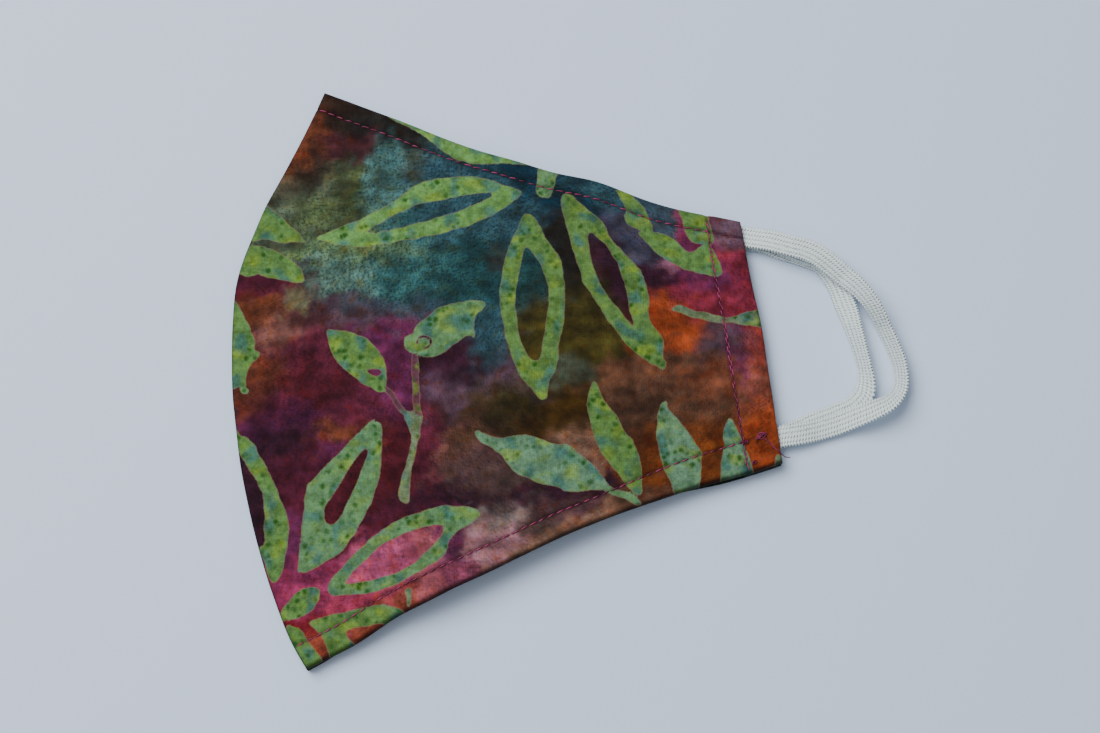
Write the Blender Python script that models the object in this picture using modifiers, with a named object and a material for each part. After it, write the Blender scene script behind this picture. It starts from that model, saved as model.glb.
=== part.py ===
"""A fitted cloth face mask, folded in half along its centre seam and lying flat.

Two shaped cloth halves meet at the curved centre seam. The upper half bows up from the lower one,
so the pocket for the nose and mouth stays open between them. Each half has a folded hem at its side
edge, and the two ends of a flat elastic ear loop are sewn into that hem.

Metres, +Z up, +X towards the ear loops, +Y towards the nose edge.
"""

import math

import bmesh
import bpy
from mathutils import Matrix, Vector

MM = 0.001

# Outline of one half, seen from above
SEAM_CHORD = 154 * MM  # straight from the chin point to the nose point
SEAM_BULGE = 22.2 * MM  # how far the centre seam bows out from that chord
PANEL_REACH = 115 * MM  # from the chord to the middle of the side edge
SIDE_HEIGHT = 65.4 * MM  # length of the side edge
SIDE_RAISE = 7.8 * MM  # middle of the side edge above the middle of the chord
SIDE_LEAN = math.radians(8.1)  # the side edge's top leans towards the seam
SIDE_BOW = 0.7 * MM
NOSE_DIP = 3.3 * MM  # hollow of the nose edge
CHIN_DIP = 4.5 * MM  # hollow of the chin edge

# Cloth
WALL = 1.1 * MM  # shell and backing together
SEAM_ALLOWANCE = 6.0 * MM  # width of the double cloth inside the centre seam
SEAM_THICKNESS = 2.0 * MM
TURNED_EDGE = 5.0 * MM  # width of the cloth turned in along the nose and chin edges
TURNED_THICKNESS = 1.7 * MM
HEM_WIDTH = 9.3 * MM
THINNING = 1.5 * MM  # over which a sewn border thins to the plain wall
EDGE_ROUND = 0.5 * MM
CLEARANCE = 0.3 * MM  # between touching pieces
PUFF = 4.6 * MM  # how far the upper half bows up

# Elastic
STRAP_WIDTH = 6.0 * MM
STRAP_THICKNESS = 1.0 * MM
STRAP_ROUND = 0.25 * MM
STRAP_TUCK = 8.0 * MM  # length sewn into the hem
OUTER_REACH = 34.5 * MM  # from the side edge to the loop's far bend
INNER_REACH = 25.4 * MM
TOP_INSET = 3.6 * MM  # strap's middle below the top of the side edge
BOTTOM_INSET = 7.0 * MM  # strap's middle above the foot of the side edge
TOP_SWING = math.radians(-14)  # direction of the sewn end, from square to the loop's base
BOTTOM_SWING = math.radians(7)
POCKET_SIDE = 0.4 * MM  # clearance beside the strap in its pocket
SAG_RADIUS = 15 * MM  # of the strap's bend where it eases down to the table

# The hem folds round the elastic, so it is a wall, a clearance and a strap thick
HEM_THICKNESS = WALL + CLEARANCE + STRAP_THICKNESS
SEAM_LEVEL = 2 * SEAM_THICKNESS + CLEARANCE  # top of the folded pile at the seam
HEM_LEVEL = 2 * HEM_THICKNESS + CLEARANCE  # top of the folded pile at the hems

# Edge curves: share of the way along, and share of the edge's bulge, bow or dip there
SEAM_CURVE = (
    # from the chin point to the nose point
    (0.00, 0.00), (0.05, 0.21), (0.12, 0.41), (0.25, 0.70), (0.37, 0.88), (0.48, 0.975),
    (0.58, 1.00), (0.645, 0.98), (0.70, 0.885), (0.78, 0.69), (0.87, 0.39), (0.94, 0.17), (1.00, 0.00),
)
SIDE_CURVE = ((0.00, 0.00), (0.30, 0.75), (0.60, 1.00), (0.80, 0.30), (1.00, 0.00))
NOSE_CURVE = (
    # from the seam to the side edge
    (0.00, 0.00), (0.16, 0.40), (0.32, 0.97), (0.47, 0.97), (0.56, 0.95), (0.67, 0.55),
    (0.79, 0.70), (0.90, 0.42), (1.00, 0.00),
)
CHIN_CURVE = (
    # from the seam to the side edge
    (0.00, 0.00), (0.10, 0.20), (0.20, 0.58), (0.36, 0.78), (0.47, 0.91), (0.56, 1.00),
    (0.67, 0.93), (0.75, 0.82), (0.83, 0.60), (0.93, 0.20), (1.00, 0.00),
)

# How far the upper half bows up: share of the way from chin to nose, share of the puff
CREST = ((0.00, 0.93), (0.15, 1.00), (0.35, 1.00), (0.60, 0.86), (0.80, 0.64), (1.00, 0.46))
RISE_ENDS = 0.30  # share of the way across where the upper half has risen
FALL_STARTS = 0.50  # share of the way across where it starts down to the hem

# Soft folds on the upper half: start and end as shares across and up, width as a share of the
# panel's reach and height as a share of the puff
FOLDS = (
    # start, end, width, height
    ((0.66, 1.00), (0.58, 0.55), 0.15, 0.17),
    ((0.30, 0.00), (0.38, 0.42), 0.17, 0.13),
    ((0.88, 0.62), (0.55, 0.50), 0.14, 0.11),
)

# Ear loop routes: shares out and down from the top end, and the strap's lean in degrees, above 0
# where its outer edge is the raised one
OUTER_ROUTE = (
    # out, down, lean
    (0.16, 0.042, 4),
    (0.32, 0.092, 8),
    (0.47, 0.138, 12),
    (0.635, 0.233, 30),
    (0.725, 0.300, 40),
    (0.83, 0.400, 52),
    (0.92, 0.520, 60),
    (0.98, 0.650, 62),
    (1.00, 0.760, 62),
    (0.97, 0.848, 56),
    (0.86, 0.914, 36),
    (0.73, 0.940, 16),
    (0.54, 0.964, 3),
    (0.335, 0.985, -5),
    (0.16, 0.997, -4),
)
INNER_ROUTE = (
    # out, down, lean
    (0.22, 0.040, 18),
    (0.40, 0.098, 46),
    (0.59, 0.151, 61),
    (0.75, 0.196, 57),
    (0.87, 0.280, 30),
    (0.93, 0.400, 24),
    (0.965, 0.530, 48),
    (0.99, 0.640, 58),
    (1.00, 0.730, 59),
    (0.985, 0.800, 40),
    (0.94, 0.850, 15),
    (0.85, 0.886, 8),
    (0.64, 0.917, 4),
    (0.38, 0.945, 3),
    (0.20, 0.972, 2),
)

# Mesh fineness
COLUMNS_BETWEEN = 20
ROWS_BETWEEN = 20
LOOP_STEP = 1.4 * MM  # between sections along a loop
PLACES_ACROSS = 6  # on each side of a strap's middle, where its clearance is worked out


def smooth_step(share):
    """An even S from 0 to 1 over a share from 0 to 1."""
    share = min(max(share, 0.0), 1.0)
    return share * share * (3 - 2 * share)


def through(knots, values, at):
    """Value at one place on the smooth curve through the values at the knots."""
    last = len(knots) - 1
    at = min(max(at, knots[0]), knots[last])
    i = next(k for k in range(last) if at <= knots[k + 1])

    def slope(k):
        before, after = max(k - 1, 0), min(k + 1, last)
        if before == k or after == k:
            return (values[after] - values[before]) / (knots[after] - knots[before])
        left = (values[k] - values[before]) / (knots[k] - knots[before])
        right = (values[after] - values[k]) / (knots[after] - knots[k])
        weight = (knots[k] - knots[before]) / (knots[after] - knots[before])
        return left * (1 - weight) + right * weight

    span = knots[i + 1] - knots[i]
    t = (at - knots[i]) / span
    start = values[i] * (2 * t**3 - 3 * t**2 + 1) + slope(i) * span * (t**3 - 2 * t**2 + t)
    return start + values[i + 1] * (3 * t**2 - 2 * t**3) + slope(i + 1) * span * (t**3 - t**2)


def curve_share(curve, share):
    """Share of the bulge, bow or dip that one of the edge curves has at a share of its way."""
    return through([row[0] for row in curve], [row[1] for row in curve], share)


# The outline's four corners
CHIN = Vector((0, -SEAM_CHORD / 2))
NOSE = Vector((0, SEAM_CHORD / 2))
SIDE_UP = Vector((-math.sin(SIDE_LEAN), math.cos(SIDE_LEAN)))
SIDE_MIDDLE = Vector((PANEL_REACH, SIDE_RAISE))
SIDE_FOOT = SIDE_MIDDLE - SIDE_UP * SIDE_HEIGHT / 2
SIDE_TOP = SIDE_MIDDLE + SIDE_UP * SIDE_HEIGHT / 2


def bowed(start, end, share, curve, depth):
    """Point on the edge from start to end that bows to its left by depth times the curve."""
    along = end - start
    left = Vector((-along.y, along.x)).normalized()
    return start + along * share + left * depth * curve_share(curve, share)


def seam_edge(up):
    return bowed(CHIN, NOSE, up, SEAM_CURVE, SEAM_BULGE)


def side_edge(up):
    return bowed(SIDE_FOOT, SIDE_TOP, up, SIDE_CURVE, -SIDE_BOW)


def chin_edge(across):
    return bowed(CHIN, SIDE_FOOT, across, CHIN_CURVE, CHIN_DIP)


def nose_edge(across):
    return bowed(NOSE, SIDE_TOP, across, NOSE_CURVE, -NOSE_DIP)


def panel_point(across, up):
    """Place in the half's outline, spread evenly between its four edges."""
    between_ends = chin_edge(across) * (1 - up) + nose_edge(across) * up
    between_sides = seam_edge(up) * (1 - across) + side_edge(up) * across
    lower_corners = CHIN * (1 - across) + SIDE_FOOT * across
    upper_corners = NOSE * (1 - across) + SIDE_TOP * across
    return between_ends + between_sides - lower_corners * (1 - up) - upper_corners * up


def row_length(up):
    return (side_edge(up) - seam_edge(up)).length


def column_length(across):
    return (nose_edge(across) - chin_edge(across)).length


def grid_shares(length, first_border, last_border, between):
    """Shares of a length where grid lines lie: two for each sewn border, the rest evenly between."""
    start, stop = first_border + THINNING, length - last_border - THINNING
    inner = [start + (stop - start) * k / between for k in range(between + 1)]
    marks = [0, first_border, *inner, length - last_border, length]
    return [mark / length for mark in marks]


def fold_height(across, up):
    """Height that the soft folds add at one place of the upper half."""
    here = panel_point(across, up)
    height = 0.0
    for start, end, width, rise in FOLDS:
        a, b = panel_point(*start), panel_point(*end)
        run = b - a
        share = (here - a).dot(run) / run.length_squared
        nearest = a + run * min(max(share, 0.0), 1.0)
        nearness = smooth_step(1 - (here - nearest).length / (width * PANEL_REACH))
        height += rise * PUFF * nearness * (1 - smooth_step(share))
    return height


def upper_height(across, up):
    """Top of the folded pile: level at the seam and at the hem, bowed up between them."""
    length = row_length(up)
    inner = length - SEAM_ALLOWANCE - HEM_WIDTH
    share = min(max((across * length - SEAM_ALLOWANCE) / inner, 0.0), 1.0)
    level = SEAM_LEVEL + (HEM_LEVEL - SEAM_LEVEL) * smooth_step(share)
    falling = smooth_step((share - FALL_STARTS) / (1 - FALL_STARTS))
    bow = smooth_step(share / RISE_ENDS) * (1 - falling)
    return level + bow * (PUFF * curve_share(CREST, up) + fold_height(across, up))


def material(name, colour, roughness):
    made = bpy.data.materials.new(name)
    made.use_nodes = True
    shader = made.node_tree.nodes["Principled BSDF"]
    shader.inputs["Base Color"].default_value = (*colour, 1)
    shader.inputs["Roughness"].default_value = roughness
    shader.inputs["Metallic"].default_value = 0
    return made


def add_object(name, mesh, finish, collection):
    obj = bpy.data.objects.new(name, mesh)
    collection.objects.link(obj)
    mesh.materials.append(finish)
    return obj


def add_modifier(obj, kind, **settings):
    modifier = obj.modifiers.new(kind.title(), kind)
    for key, value in settings.items():
        setattr(modifier, key, value)
    return modifier


def border_weight(thickness):
    """Weight that gives a vertex this thickness between the wall's 0 and the hem's 1."""
    return (thickness - WALL) / (HEM_THICKNESS - WALL)


def cloth_half(name, height, faces_up, finish, collection):
    """One half of the mask: its outer face as a grid, thickened inwards, most where it is sewn."""
    halfway = 0.5
    even_across = grid_shares(row_length(halfway), SEAM_ALLOWANCE, HEM_WIDTH, COLUMNS_BETWEEN)
    even_up = grid_shares(column_length(halfway), TURNED_EDGE, TURNED_EDGE, ROWS_BETWEEN)
    rows = [grid_shares(row_length(up), SEAM_ALLOWANCE, HEM_WIDTH, COLUMNS_BETWEEN) for up in even_up]
    columns = [
        grid_shares(column_length(across), TURNED_EDGE, TURNED_EDGE, ROWS_BETWEEN)
        for across in even_across
    ]
    last_column, last_row = len(even_across) - 1, len(even_up) - 1
    build = bmesh.new()
    grid = []
    for j in range(last_row + 1):
        for i in range(last_column + 1):
            across, up = rows[j][i], columns[i][j]
            place = panel_point(across, up)
            grid.append(build.verts.new((place.x, place.y, height(across, up))))
    width = last_column + 1
    for j in range(last_row):
        for i in range(last_column):
            a, b = j * width + i, (j + 1) * width + i
            corners = [grid[a], grid[a + 1], grid[b + 1], grid[b]]
            build.faces.new(corners if faces_up else corners[::-1])
    mesh = bpy.data.meshes.new(name)
    build.to_mesh(mesh)
    build.free()
    obj = add_object(name, mesh, finish, collection)

    borders = obj.vertex_groups.new(name="sewn_borders")
    for j in range(last_row + 1):
        for i in range(last_column + 1):
            thickness = WALL
            if i <= 1:
                thickness = SEAM_THICKNESS
            if j <= 1 or j >= last_row - 1:
                thickness = max(thickness, TURNED_THICKNESS)
            if i >= last_column - 1:
                thickness = HEM_THICKNESS
            borders.add([j * width + i], border_weight(thickness), "REPLACE")
    add_modifier(
        obj, "SOLIDIFY", thickness=HEM_THICKNESS, offset=-1, vertex_group=borders.name,
        thickness_vertex_group=WALL / HEM_THICKNESS,
    )
    add_modifier(obj, "BEVEL", width=EDGE_ROUND, segments=2, limit_method="ANGLE", angle_limit=math.radians(60))
    return obj


# The ear loops share one base line on the side edge, from the top exit to the bottom one
TOP_EXIT = side_edge(1 - TOP_INSET / SIDE_HEIGHT)
BOTTOM_EXIT = side_edge(BOTTOM_INSET / SIDE_HEIGHT)
BASE_DOWN = BOTTOM_EXIT - TOP_EXIT
BASE_OUT = Vector((-BASE_DOWN.y, BASE_DOWN.x)).normalized()


def sewn_direction(swing):
    """Direction in which a sewn end leaves its hem."""
    return Matrix.Rotation(swing, 2) @ BASE_OUT


def leaning_height(lean):
    """Height of the strap's middle when it leans on its lower edge."""
    return STRAP_WIDTH / 2 * abs(math.sin(lean)) + STRAP_THICKNESS / 2 * math.cos(lean)


def outward_at(line, k):
    """Level direction towards the loop's outer side, square to the strap at section k."""
    ahead = line[min(k + 1, len(line) - 1)] - line[max(k - 1, 0)]
    return Vector((-ahead.y, ahead.x)).normalized()


def height_over(line, k, below):
    """Height that section k's middle needs to clear the strap below it."""
    outward, lean = outward_at(line, k), line[k].z
    half_width, half_thickness = STRAP_WIDTH / 2, STRAP_THICKNESS / 2
    need = 0.0
    for step in range(-PLACES_ACROSS, PLACES_ACROSS + 1):
        across = half_width * step / PLACES_ACROSS
        here = line[k].xy + outward * across * math.cos(lean)
        for j, other in enumerate(below):
            outward_below, lean_below = outward_at(below, j), other.w
            away = here - other.xy
            side, along = away.dot(outward_below), away.cross(outward_below)
            shown = half_width * math.cos(lean_below) + half_thickness * math.sin(lean_below)
            if abs(along) > LOOP_STEP or abs(side) > shown + CLEARANCE:
                continue
            face = side * math.tan(lean_below) + (half_thickness + CLEARANCE) / math.cos(lean_below)
            ridge = half_width * math.sin(lean_below) + half_thickness * math.cos(lean_below) + CLEARANCE
            top = other.z + min(face, ridge)
            need = max(need, top + half_thickness * math.cos(lean) - across * math.sin(lean))
    return need


def loop_line(route, reach, hem_level, below=()):
    """The strap's middle line from sewn end to sewn end, as (x, y, height, lean) vectors.

    It is held level in the hem and rests on the table or on the strap below it elsewhere.
    """
    points = []
    for out, down, lean_degrees in route:
        place = TOP_EXIT + BASE_DOWN * down + BASE_OUT * out * reach
        points.append(Vector((place.x, place.y, math.radians(lean_degrees))))

    def sewn(exit_point, swing, back):
        return (exit_point - sewn_direction(swing) * back).to_3d()

    head = [sewn(TOP_EXIT, TOP_SWING, back) for back in (STRAP_TUCK, STRAP_TUCK / 2, 0)]
    tail = [sewn(BOTTOM_EXIT, BOTTOM_SWING, back) for back in (0, STRAP_TUCK / 2, STRAP_TUCK)]
    points = head + points + tail
    knots = [0.0]
    for a, b in zip(points, points[1:]):
        knots.append(knots[-1] + (b - a).xy.length)
    sections = max(round(knots[-1] / LOOP_STEP), 2)
    places = [knots[-1] * k / sections for k in range(sections + 1)]
    line = [through(knots, points, place) for place in places]

    in_hem = STRAP_TUCK + LOOP_STEP / 2
    held = [min(place, knots[-1] - place) < in_hem for place in places]
    needs = []
    for k, point in enumerate(line):
        free = max(leaning_height(point.z), height_over(line, k, below))
        needs.append(hem_level if held[k] else free)

    def eased(k):
        if held[k]:
            return hem_level
        return max(need - (places[k] - place) ** 2 / (2 * SAG_RADIUS) for need, place in zip(needs, places))

    return [Vector((point.x, point.y, eased(k), point.z)) for k, point in enumerate(line)]


def ear_loop(name, line, finish, collection):
    """A flat elastic strap along its line, leaning as the line says."""
    build = bmesh.new()
    edges = []
    for k, point in enumerate(line):
        lean = point.w
        outward = outward_at(line, k).to_3d()
        half = (outward * math.cos(lean) + Vector((0, 0, math.sin(lean)))) * STRAP_WIDTH / 2
        edges.append((build.verts.new(point.xyz - half), build.verts.new(point.xyz + half)))
    for (inner, outer), (next_inner, next_outer) in zip(edges, edges[1:]):
        build.faces.new((inner, next_inner, next_outer, outer))
    mesh = bpy.data.meshes.new(name)
    build.to_mesh(mesh)
    build.free()
    obj = add_object(name, mesh, finish, collection)
    add_modifier(obj, "SOLIDIFY", thickness=STRAP_THICKNESS, offset=0)
    add_modifier(obj, "BEVEL", width=STRAP_ROUND, segments=1, limit_method="ANGLE", angle_limit=math.radians(60))
    return obj


def cut_pocket(panel, name, exit_point, swing, low, high, past_edge, cutters):
    """Cuts the room for one sewn end out of a hem. past_edge widens it towards the nose edge."""
    direction = sewn_direction(swing)
    back = STRAP_TUCK + CLEARANCE
    length = back + HEM_WIDTH
    width = STRAP_WIDTH + 2 * POCKET_SIDE + past_edge
    left = Vector((-direction.y, direction.x))
    middle = exit_point + direction * (length / 2 - back) + left * past_edge / 2
    bpy.ops.mesh.primitive_cube_add(size=1)
    cutter = bpy.context.object
    cutter.name = name
    for owner in list(cutter.users_collection):
        owner.objects.unlink(cutter)
    cutters.objects.link(cutter)
    cutter.scale = (length, width, high - low)
    cutter.location = (middle.x, middle.y, (low + high) / 2)
    cutter.rotation_euler.z = math.atan2(direction.y, direction.x)
    cutter.hide_render = True
    cutter.display_type = "WIRE"
    add_modifier(panel, "BOOLEAN", operation="DIFFERENCE", object=cutter)
    return cutter


def set_on_origin(objects, carrier):
    """Moves the carrier so that the middle of the whole mask's base is the origin."""
    bpy.context.view_layer.update()
    graph = bpy.context.evaluated_depsgraph_get()
    corners = []
    for obj in objects:
        shown = obj.evaluated_get(graph)
        corners += [shown.matrix_world @ Vector(corner) for corner in shown.bound_box]
    low = Vector([min(corner[k] for corner in corners) for k in range(3)])
    high = Vector([max(corner[k] for corner in corners) for k in range(3)])
    carrier.location = (-(low.x + high.x) / 2, -(low.y + high.y) / 2, -low.z)


def build_mask():
    for obj in list(bpy.data.objects):
        bpy.data.objects.remove(obj)
    mask = bpy.data.collections.new("cloth_face_mask")
    cutters = bpy.data.collections.new("cutters")
    for collection in (mask, cutters):
        bpy.context.scene.collection.children.link(collection)
    printed_cotton = material("printed_cotton", (0.22, 0.10, 0.11), 0.85)
    white_elastic = material("white_elastic", (0.80, 0.82, 0.80), 0.75)

    lower = cloth_half("lower_panel", lambda across, up: 0.0, False, printed_cotton, mask)
    upper = cloth_half("upper_panel", upper_height, True, printed_cotton, mask)

    # The lower strap lies flush with the lower hem's inner face, and the upper one with the upper's
    lower_level = HEM_THICKNESS - STRAP_THICKNESS / 2
    upper_level = HEM_THICKNESS + CLEARANCE + STRAP_THICKNESS / 2
    inner_line = loop_line(INNER_ROUTE, INNER_REACH, lower_level)
    outer_line = loop_line(OUTER_ROUTE, OUTER_REACH, upper_level, inner_line)
    lower_loop = ear_loop("lower_ear_loop", inner_line, white_elastic, mask)
    upper_loop = ear_loop("upper_ear_loop", outer_line, white_elastic, mask)

    beyond = HEM_THICKNESS  # how far a cutter runs out of the cloth
    pockets = []
    for where, exit_point, swing, past_edge in (
        ("top", TOP_EXIT, TOP_SWING, TOP_INSET + STRAP_WIDTH / 2),
        ("bottom", BOTTOM_EXIT, BOTTOM_SWING, 0),
    ):
        floor = WALL
        pockets.append(
            cut_pocket(
                lower, f"lower_{where}_pocket", exit_point, swing,
                floor, HEM_THICKNESS + beyond, past_edge, cutters,
            )
        )
        ceiling = HEM_LEVEL - WALL
        pockets.append(
            cut_pocket(
                upper, f"upper_{where}_pocket", exit_point, swing,
                ceiling - HEM_THICKNESS - beyond, ceiling, past_edge, cutters,
            )
        )

    carrier = bpy.data.objects.new("mask", None)
    mask.objects.link(carrier)
    parts = (lower, upper, lower_loop, upper_loop)
    for obj in (*parts, *pockets):
        obj.parent = carrier
    set_on_origin(parts, carrier)


build_mask()
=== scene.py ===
import math

import bpy
import numpy as np
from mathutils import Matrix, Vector
from mathutils.bvhtree import BVHTree


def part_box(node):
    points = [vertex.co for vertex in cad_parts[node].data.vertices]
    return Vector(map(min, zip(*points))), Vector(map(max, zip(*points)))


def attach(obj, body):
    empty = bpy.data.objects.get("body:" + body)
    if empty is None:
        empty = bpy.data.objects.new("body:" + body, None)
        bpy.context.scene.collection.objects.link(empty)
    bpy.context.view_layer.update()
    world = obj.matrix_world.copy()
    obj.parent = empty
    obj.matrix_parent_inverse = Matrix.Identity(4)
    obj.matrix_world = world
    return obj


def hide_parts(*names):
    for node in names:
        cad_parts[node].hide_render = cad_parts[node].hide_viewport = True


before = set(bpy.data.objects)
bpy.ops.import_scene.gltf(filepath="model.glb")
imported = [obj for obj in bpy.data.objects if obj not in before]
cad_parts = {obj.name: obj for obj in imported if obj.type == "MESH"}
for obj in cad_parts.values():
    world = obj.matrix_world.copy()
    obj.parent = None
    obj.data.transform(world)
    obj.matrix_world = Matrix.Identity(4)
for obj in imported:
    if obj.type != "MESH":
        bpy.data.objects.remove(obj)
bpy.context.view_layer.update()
MM = 0.001


# The two halves: each is a shaped piece of batik-printed cotton with a plain backing, sewn to the
# other along the curved centre seam. Its nose and chin edges are turned in and topstitched, and its
# side edge is a wide folded hem. The mask is folded along the seam, so one half lies on the other.

SEAM_CHORD = 154 * MM
SEAM_BULGE = 22.2 * MM
PANEL_REACH = 115 * MM
SIDE_HEIGHT = 65.4 * MM
SIDE_RAISE = 7.8 * MM
SIDE_LEAN = math.radians(8.1)
SIDE_BOW = 0.7 * MM
NOSE_DIP = 3.3 * MM
CHIN_DIP = 4.5 * MM

# Cloth thicknesses, and the widths of the borders where it lies double
WALL = 1.1 * MM
SEAM_ALLOWANCE, SEAM_THICKNESS = 6.0 * MM, 2.0 * MM
TURNED_EDGE, TURNED_THICKNESS = 5.0 * MM, 1.7 * MM
HEM_WIDTH, HEM_THICKNESS = 9.3 * MM, 2.4 * MM
THINNING = 1.5 * MM
RIM_ROUND = 0.6 * MM
CLEARANCE = 0.3 * MM
SEAM_LEVEL = 2 * SEAM_THICKNESS + CLEARANCE
HEM_LEVEL = 2 * HEM_THICKNESS + CLEARANCE
PUFF = 4.6 * MM

# Distance of each line of stitching inside its edge, and how far it pulls the cloth in
NOSE_LINE, CHIN_LINE, HEM_LINE = 4.8 * MM, 5.5 * MM, 9.2 * MM
CHIN_LINE_DRIFT = 2.7 * MM  # how much further from the edge the chin line gets where it meets the hem
CHIN_DRIFTS = (0.58, 0.96)  # shares across between which it does
CHIN_KNOT = 0.95  # share across where the chin line ends
STITCH_PULL = 0.34 * MM
STITCH_PITCH = 2.5 * MM
SLACK, FINE_SLACK = 0.16 * MM, 0.05 * MM  # unevenness of the cloth between its edges
PUCKER, SWELL = 0.07 * MM, 0.10 * MM  # unevenness beside the stitching, and rise of the sewn border
CHIN_TUCK = 1.5 * MM  # how far the lower half's chin edge draws in under the upper one

# Share of the way along each edge, and share of its bulge, bow or dip there
SEAM_CURVE = (
    # from the chin point to the nose point
    (0.00, 0.00), (0.05, 0.21), (0.12, 0.41), (0.25, 0.70), (0.37, 0.88), (0.48, 0.975),
    (0.58, 1.00), (0.645, 0.98), (0.70, 0.885), (0.78, 0.69), (0.87, 0.39), (0.94, 0.17), (1.00, 0.00),
)
SIDE_CURVE = ((0.00, 0.00), (0.30, 0.75), (0.60, 1.00), (0.80, 0.30), (1.00, 0.00))
NOSE_CURVE = (
    # from the seam to the side edge
    (0.00, 0.00), (0.16, 0.40), (0.32, 0.97), (0.47, 0.97), (0.56, 0.95), (0.67, 0.55),
    (0.79, 0.70), (0.90, 0.42), (1.00, 0.00),
)
CHIN_CURVE = (
    # from the seam to the side edge
    (0.00, 0.00), (0.10, 0.20), (0.20, 0.58), (0.36, 0.78), (0.47, 0.91), (0.56, 1.00),
    (0.67, 0.93), (0.75, 0.82), (0.83, 0.60), (0.93, 0.20), (1.00, 0.00),
)

# How far the upper half bows up: share of the way from chin to nose, share of the puff
CREST = ((0.00, 0.93), (0.15, 1.00), (0.35, 1.00), (0.60, 0.86), (0.80, 0.64), (1.00, 0.46))
RISE_ENDS, FALL_STARTS = 0.30, 0.50
FOLDS = (
    # start and end as shares across and up, width as a share of the reach, height of the puff
    ((0.66, 1.00), (0.58, 0.55), 0.15, 0.17),
    ((0.30, 0.00), (0.38, 0.42), 0.17, 0.13),
    ((0.88, 0.62), (0.55, 0.50), 0.14, 0.11),
)

chord_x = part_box("lower_panel")[0].x + SEAM_BULGE
CHIN = np.array((chord_x, -SEAM_CHORD / 2))
NOSE = np.array((chord_x, SEAM_CHORD / 2))
SIDE_UP = np.array((-math.sin(SIDE_LEAN), math.cos(SIDE_LEAN)))
SIDE_MIDDLE = np.array((chord_x + PANEL_REACH, SIDE_RAISE))
SIDE_FOOT = SIDE_MIDDLE - SIDE_UP * SIDE_HEIGHT / 2
SIDE_TOP = SIDE_MIDDLE + SIDE_UP * SIDE_HEIGHT / 2


def smooth_step(share):
    share = np.clip(share, 0, 1)
    return share * share * (3 - 2 * share)


def eased(value, start, end):
    """0 up to the start and 1 beyond the end, with a smooth rise between them."""
    return smooth_step((np.asarray(value) - start) / (end - start))


def through(knots, values, at):
    """The smooth curve through the values at the knots, at these places."""
    knots, values = np.array(knots, float), np.array(values, float)
    slopes = np.gradient(values, knots, axis=0)
    at = np.clip(at, knots[0], knots[-1])
    k = np.clip(np.searchsorted(knots, at) - 1, 0, len(knots) - 2)
    span = knots[k + 1] - knots[k]
    t = (at - knots[k]) / span
    if values.ndim > 1:
        span, t = span[..., None], t[..., None]
    start = values[k] * (2 * t**3 - 3 * t**2 + 1) + slopes[k] * span * (t**3 - 2 * t**2 + t)
    return start + values[k + 1] * (3 * t**2 - 2 * t**3) + slopes[k + 1] * span * (t**3 - t**2)


def lengths_to(points):
    """Length of the line through the points, up to each of them."""
    return np.concatenate(((0,), np.cumsum(np.hypot(*np.diff(points, axis=0).T))))


def bowed(start, end, share, curve, depth):
    """Points on the edge from start to end, which bows to its left by depth times the curve."""
    share = np.asarray(share, float)
    along = end - start
    left = np.array((-along[1], along[0])) / np.hypot(*along)
    bow = depth * through(*zip(*curve), share)
    return start + share[..., None] * along + bow[..., None] * left


def seam_edge(up):
    return bowed(CHIN, NOSE, up, SEAM_CURVE, SEAM_BULGE)


def side_edge(up):
    return bowed(SIDE_FOOT, SIDE_TOP, up, SIDE_CURVE, -SIDE_BOW)


def chin_edge(across):
    return bowed(CHIN, SIDE_FOOT, across, CHIN_CURVE, CHIN_DIP)


def nose_edge(across):
    return bowed(NOSE, SIDE_TOP, across, NOSE_CURVE, -NOSE_DIP)


def panel_point(across, up):
    """Places in the half's outline, spread evenly between its four edges."""
    a, u = np.asarray(across, float)[..., None], np.asarray(up, float)[..., None]
    between_ends = chin_edge(across) * (1 - u) + nose_edge(across) * u
    between_sides = seam_edge(up) * (1 - a) + side_edge(up) * a
    lower_corners = CHIN * (1 - a) + SIDE_FOOT * a
    upper_corners = NOSE * (1 - a) + SIDE_TOP * a
    return between_ends + between_sides - lower_corners * (1 - u) - upper_corners * u


def row_length(up):
    return np.linalg.norm(side_edge(up) - seam_edge(up), axis=-1)


def column_length(across):
    return np.linalg.norm(nose_edge(across) - chin_edge(across), axis=-1)


def from_edges(across, up):
    """Distances from the seam, side, chin and nose edges."""
    row, column = row_length(up), column_length(across)
    return across * row, (1 - across) * row, up * column, (1 - up) * column


def stitched_lines(across, up):
    """How far places lie beyond the nose, chin and hem lines of stitching."""
    _, from_side, from_chin, from_nose = from_edges(across, up)
    chin_line = CHIN_LINE + CHIN_LINE_DRIFT * eased(across, *CHIN_DRIFTS)
    past_knot = 4 * MM * eased(across, CHIN_KNOT, CHIN_KNOT + 0.02)
    return from_nose - NOSE_LINE, from_chin - chin_line + past_knot, from_side - HEM_LINE


# The sewn ends of the ear loops leave the hem here, through a pocket in its inner side
STRAP_WIDTH, STRAP_THICKNESS, STRAP_TUCK = 6.0 * MM, 1.0 * MM, 8.0 * MM
TOP_INSET, BOTTOM_INSET = 3.6 * MM, 7.0 * MM
TOP_SWING, BOTTOM_SWING = math.radians(-14), math.radians(7)
POCKET_SIDE = 0.4 * MM
TOP_EXIT = side_edge(1 - TOP_INSET / SIDE_HEIGHT)
BOTTOM_EXIT = side_edge(BOTTOM_INSET / SIDE_HEIGHT)
BASE_DOWN = BOTTOM_EXIT - TOP_EXIT
BASE_OUT = np.array((-BASE_DOWN[1], BASE_DOWN[0])) / np.hypot(*BASE_DOWN)


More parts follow.
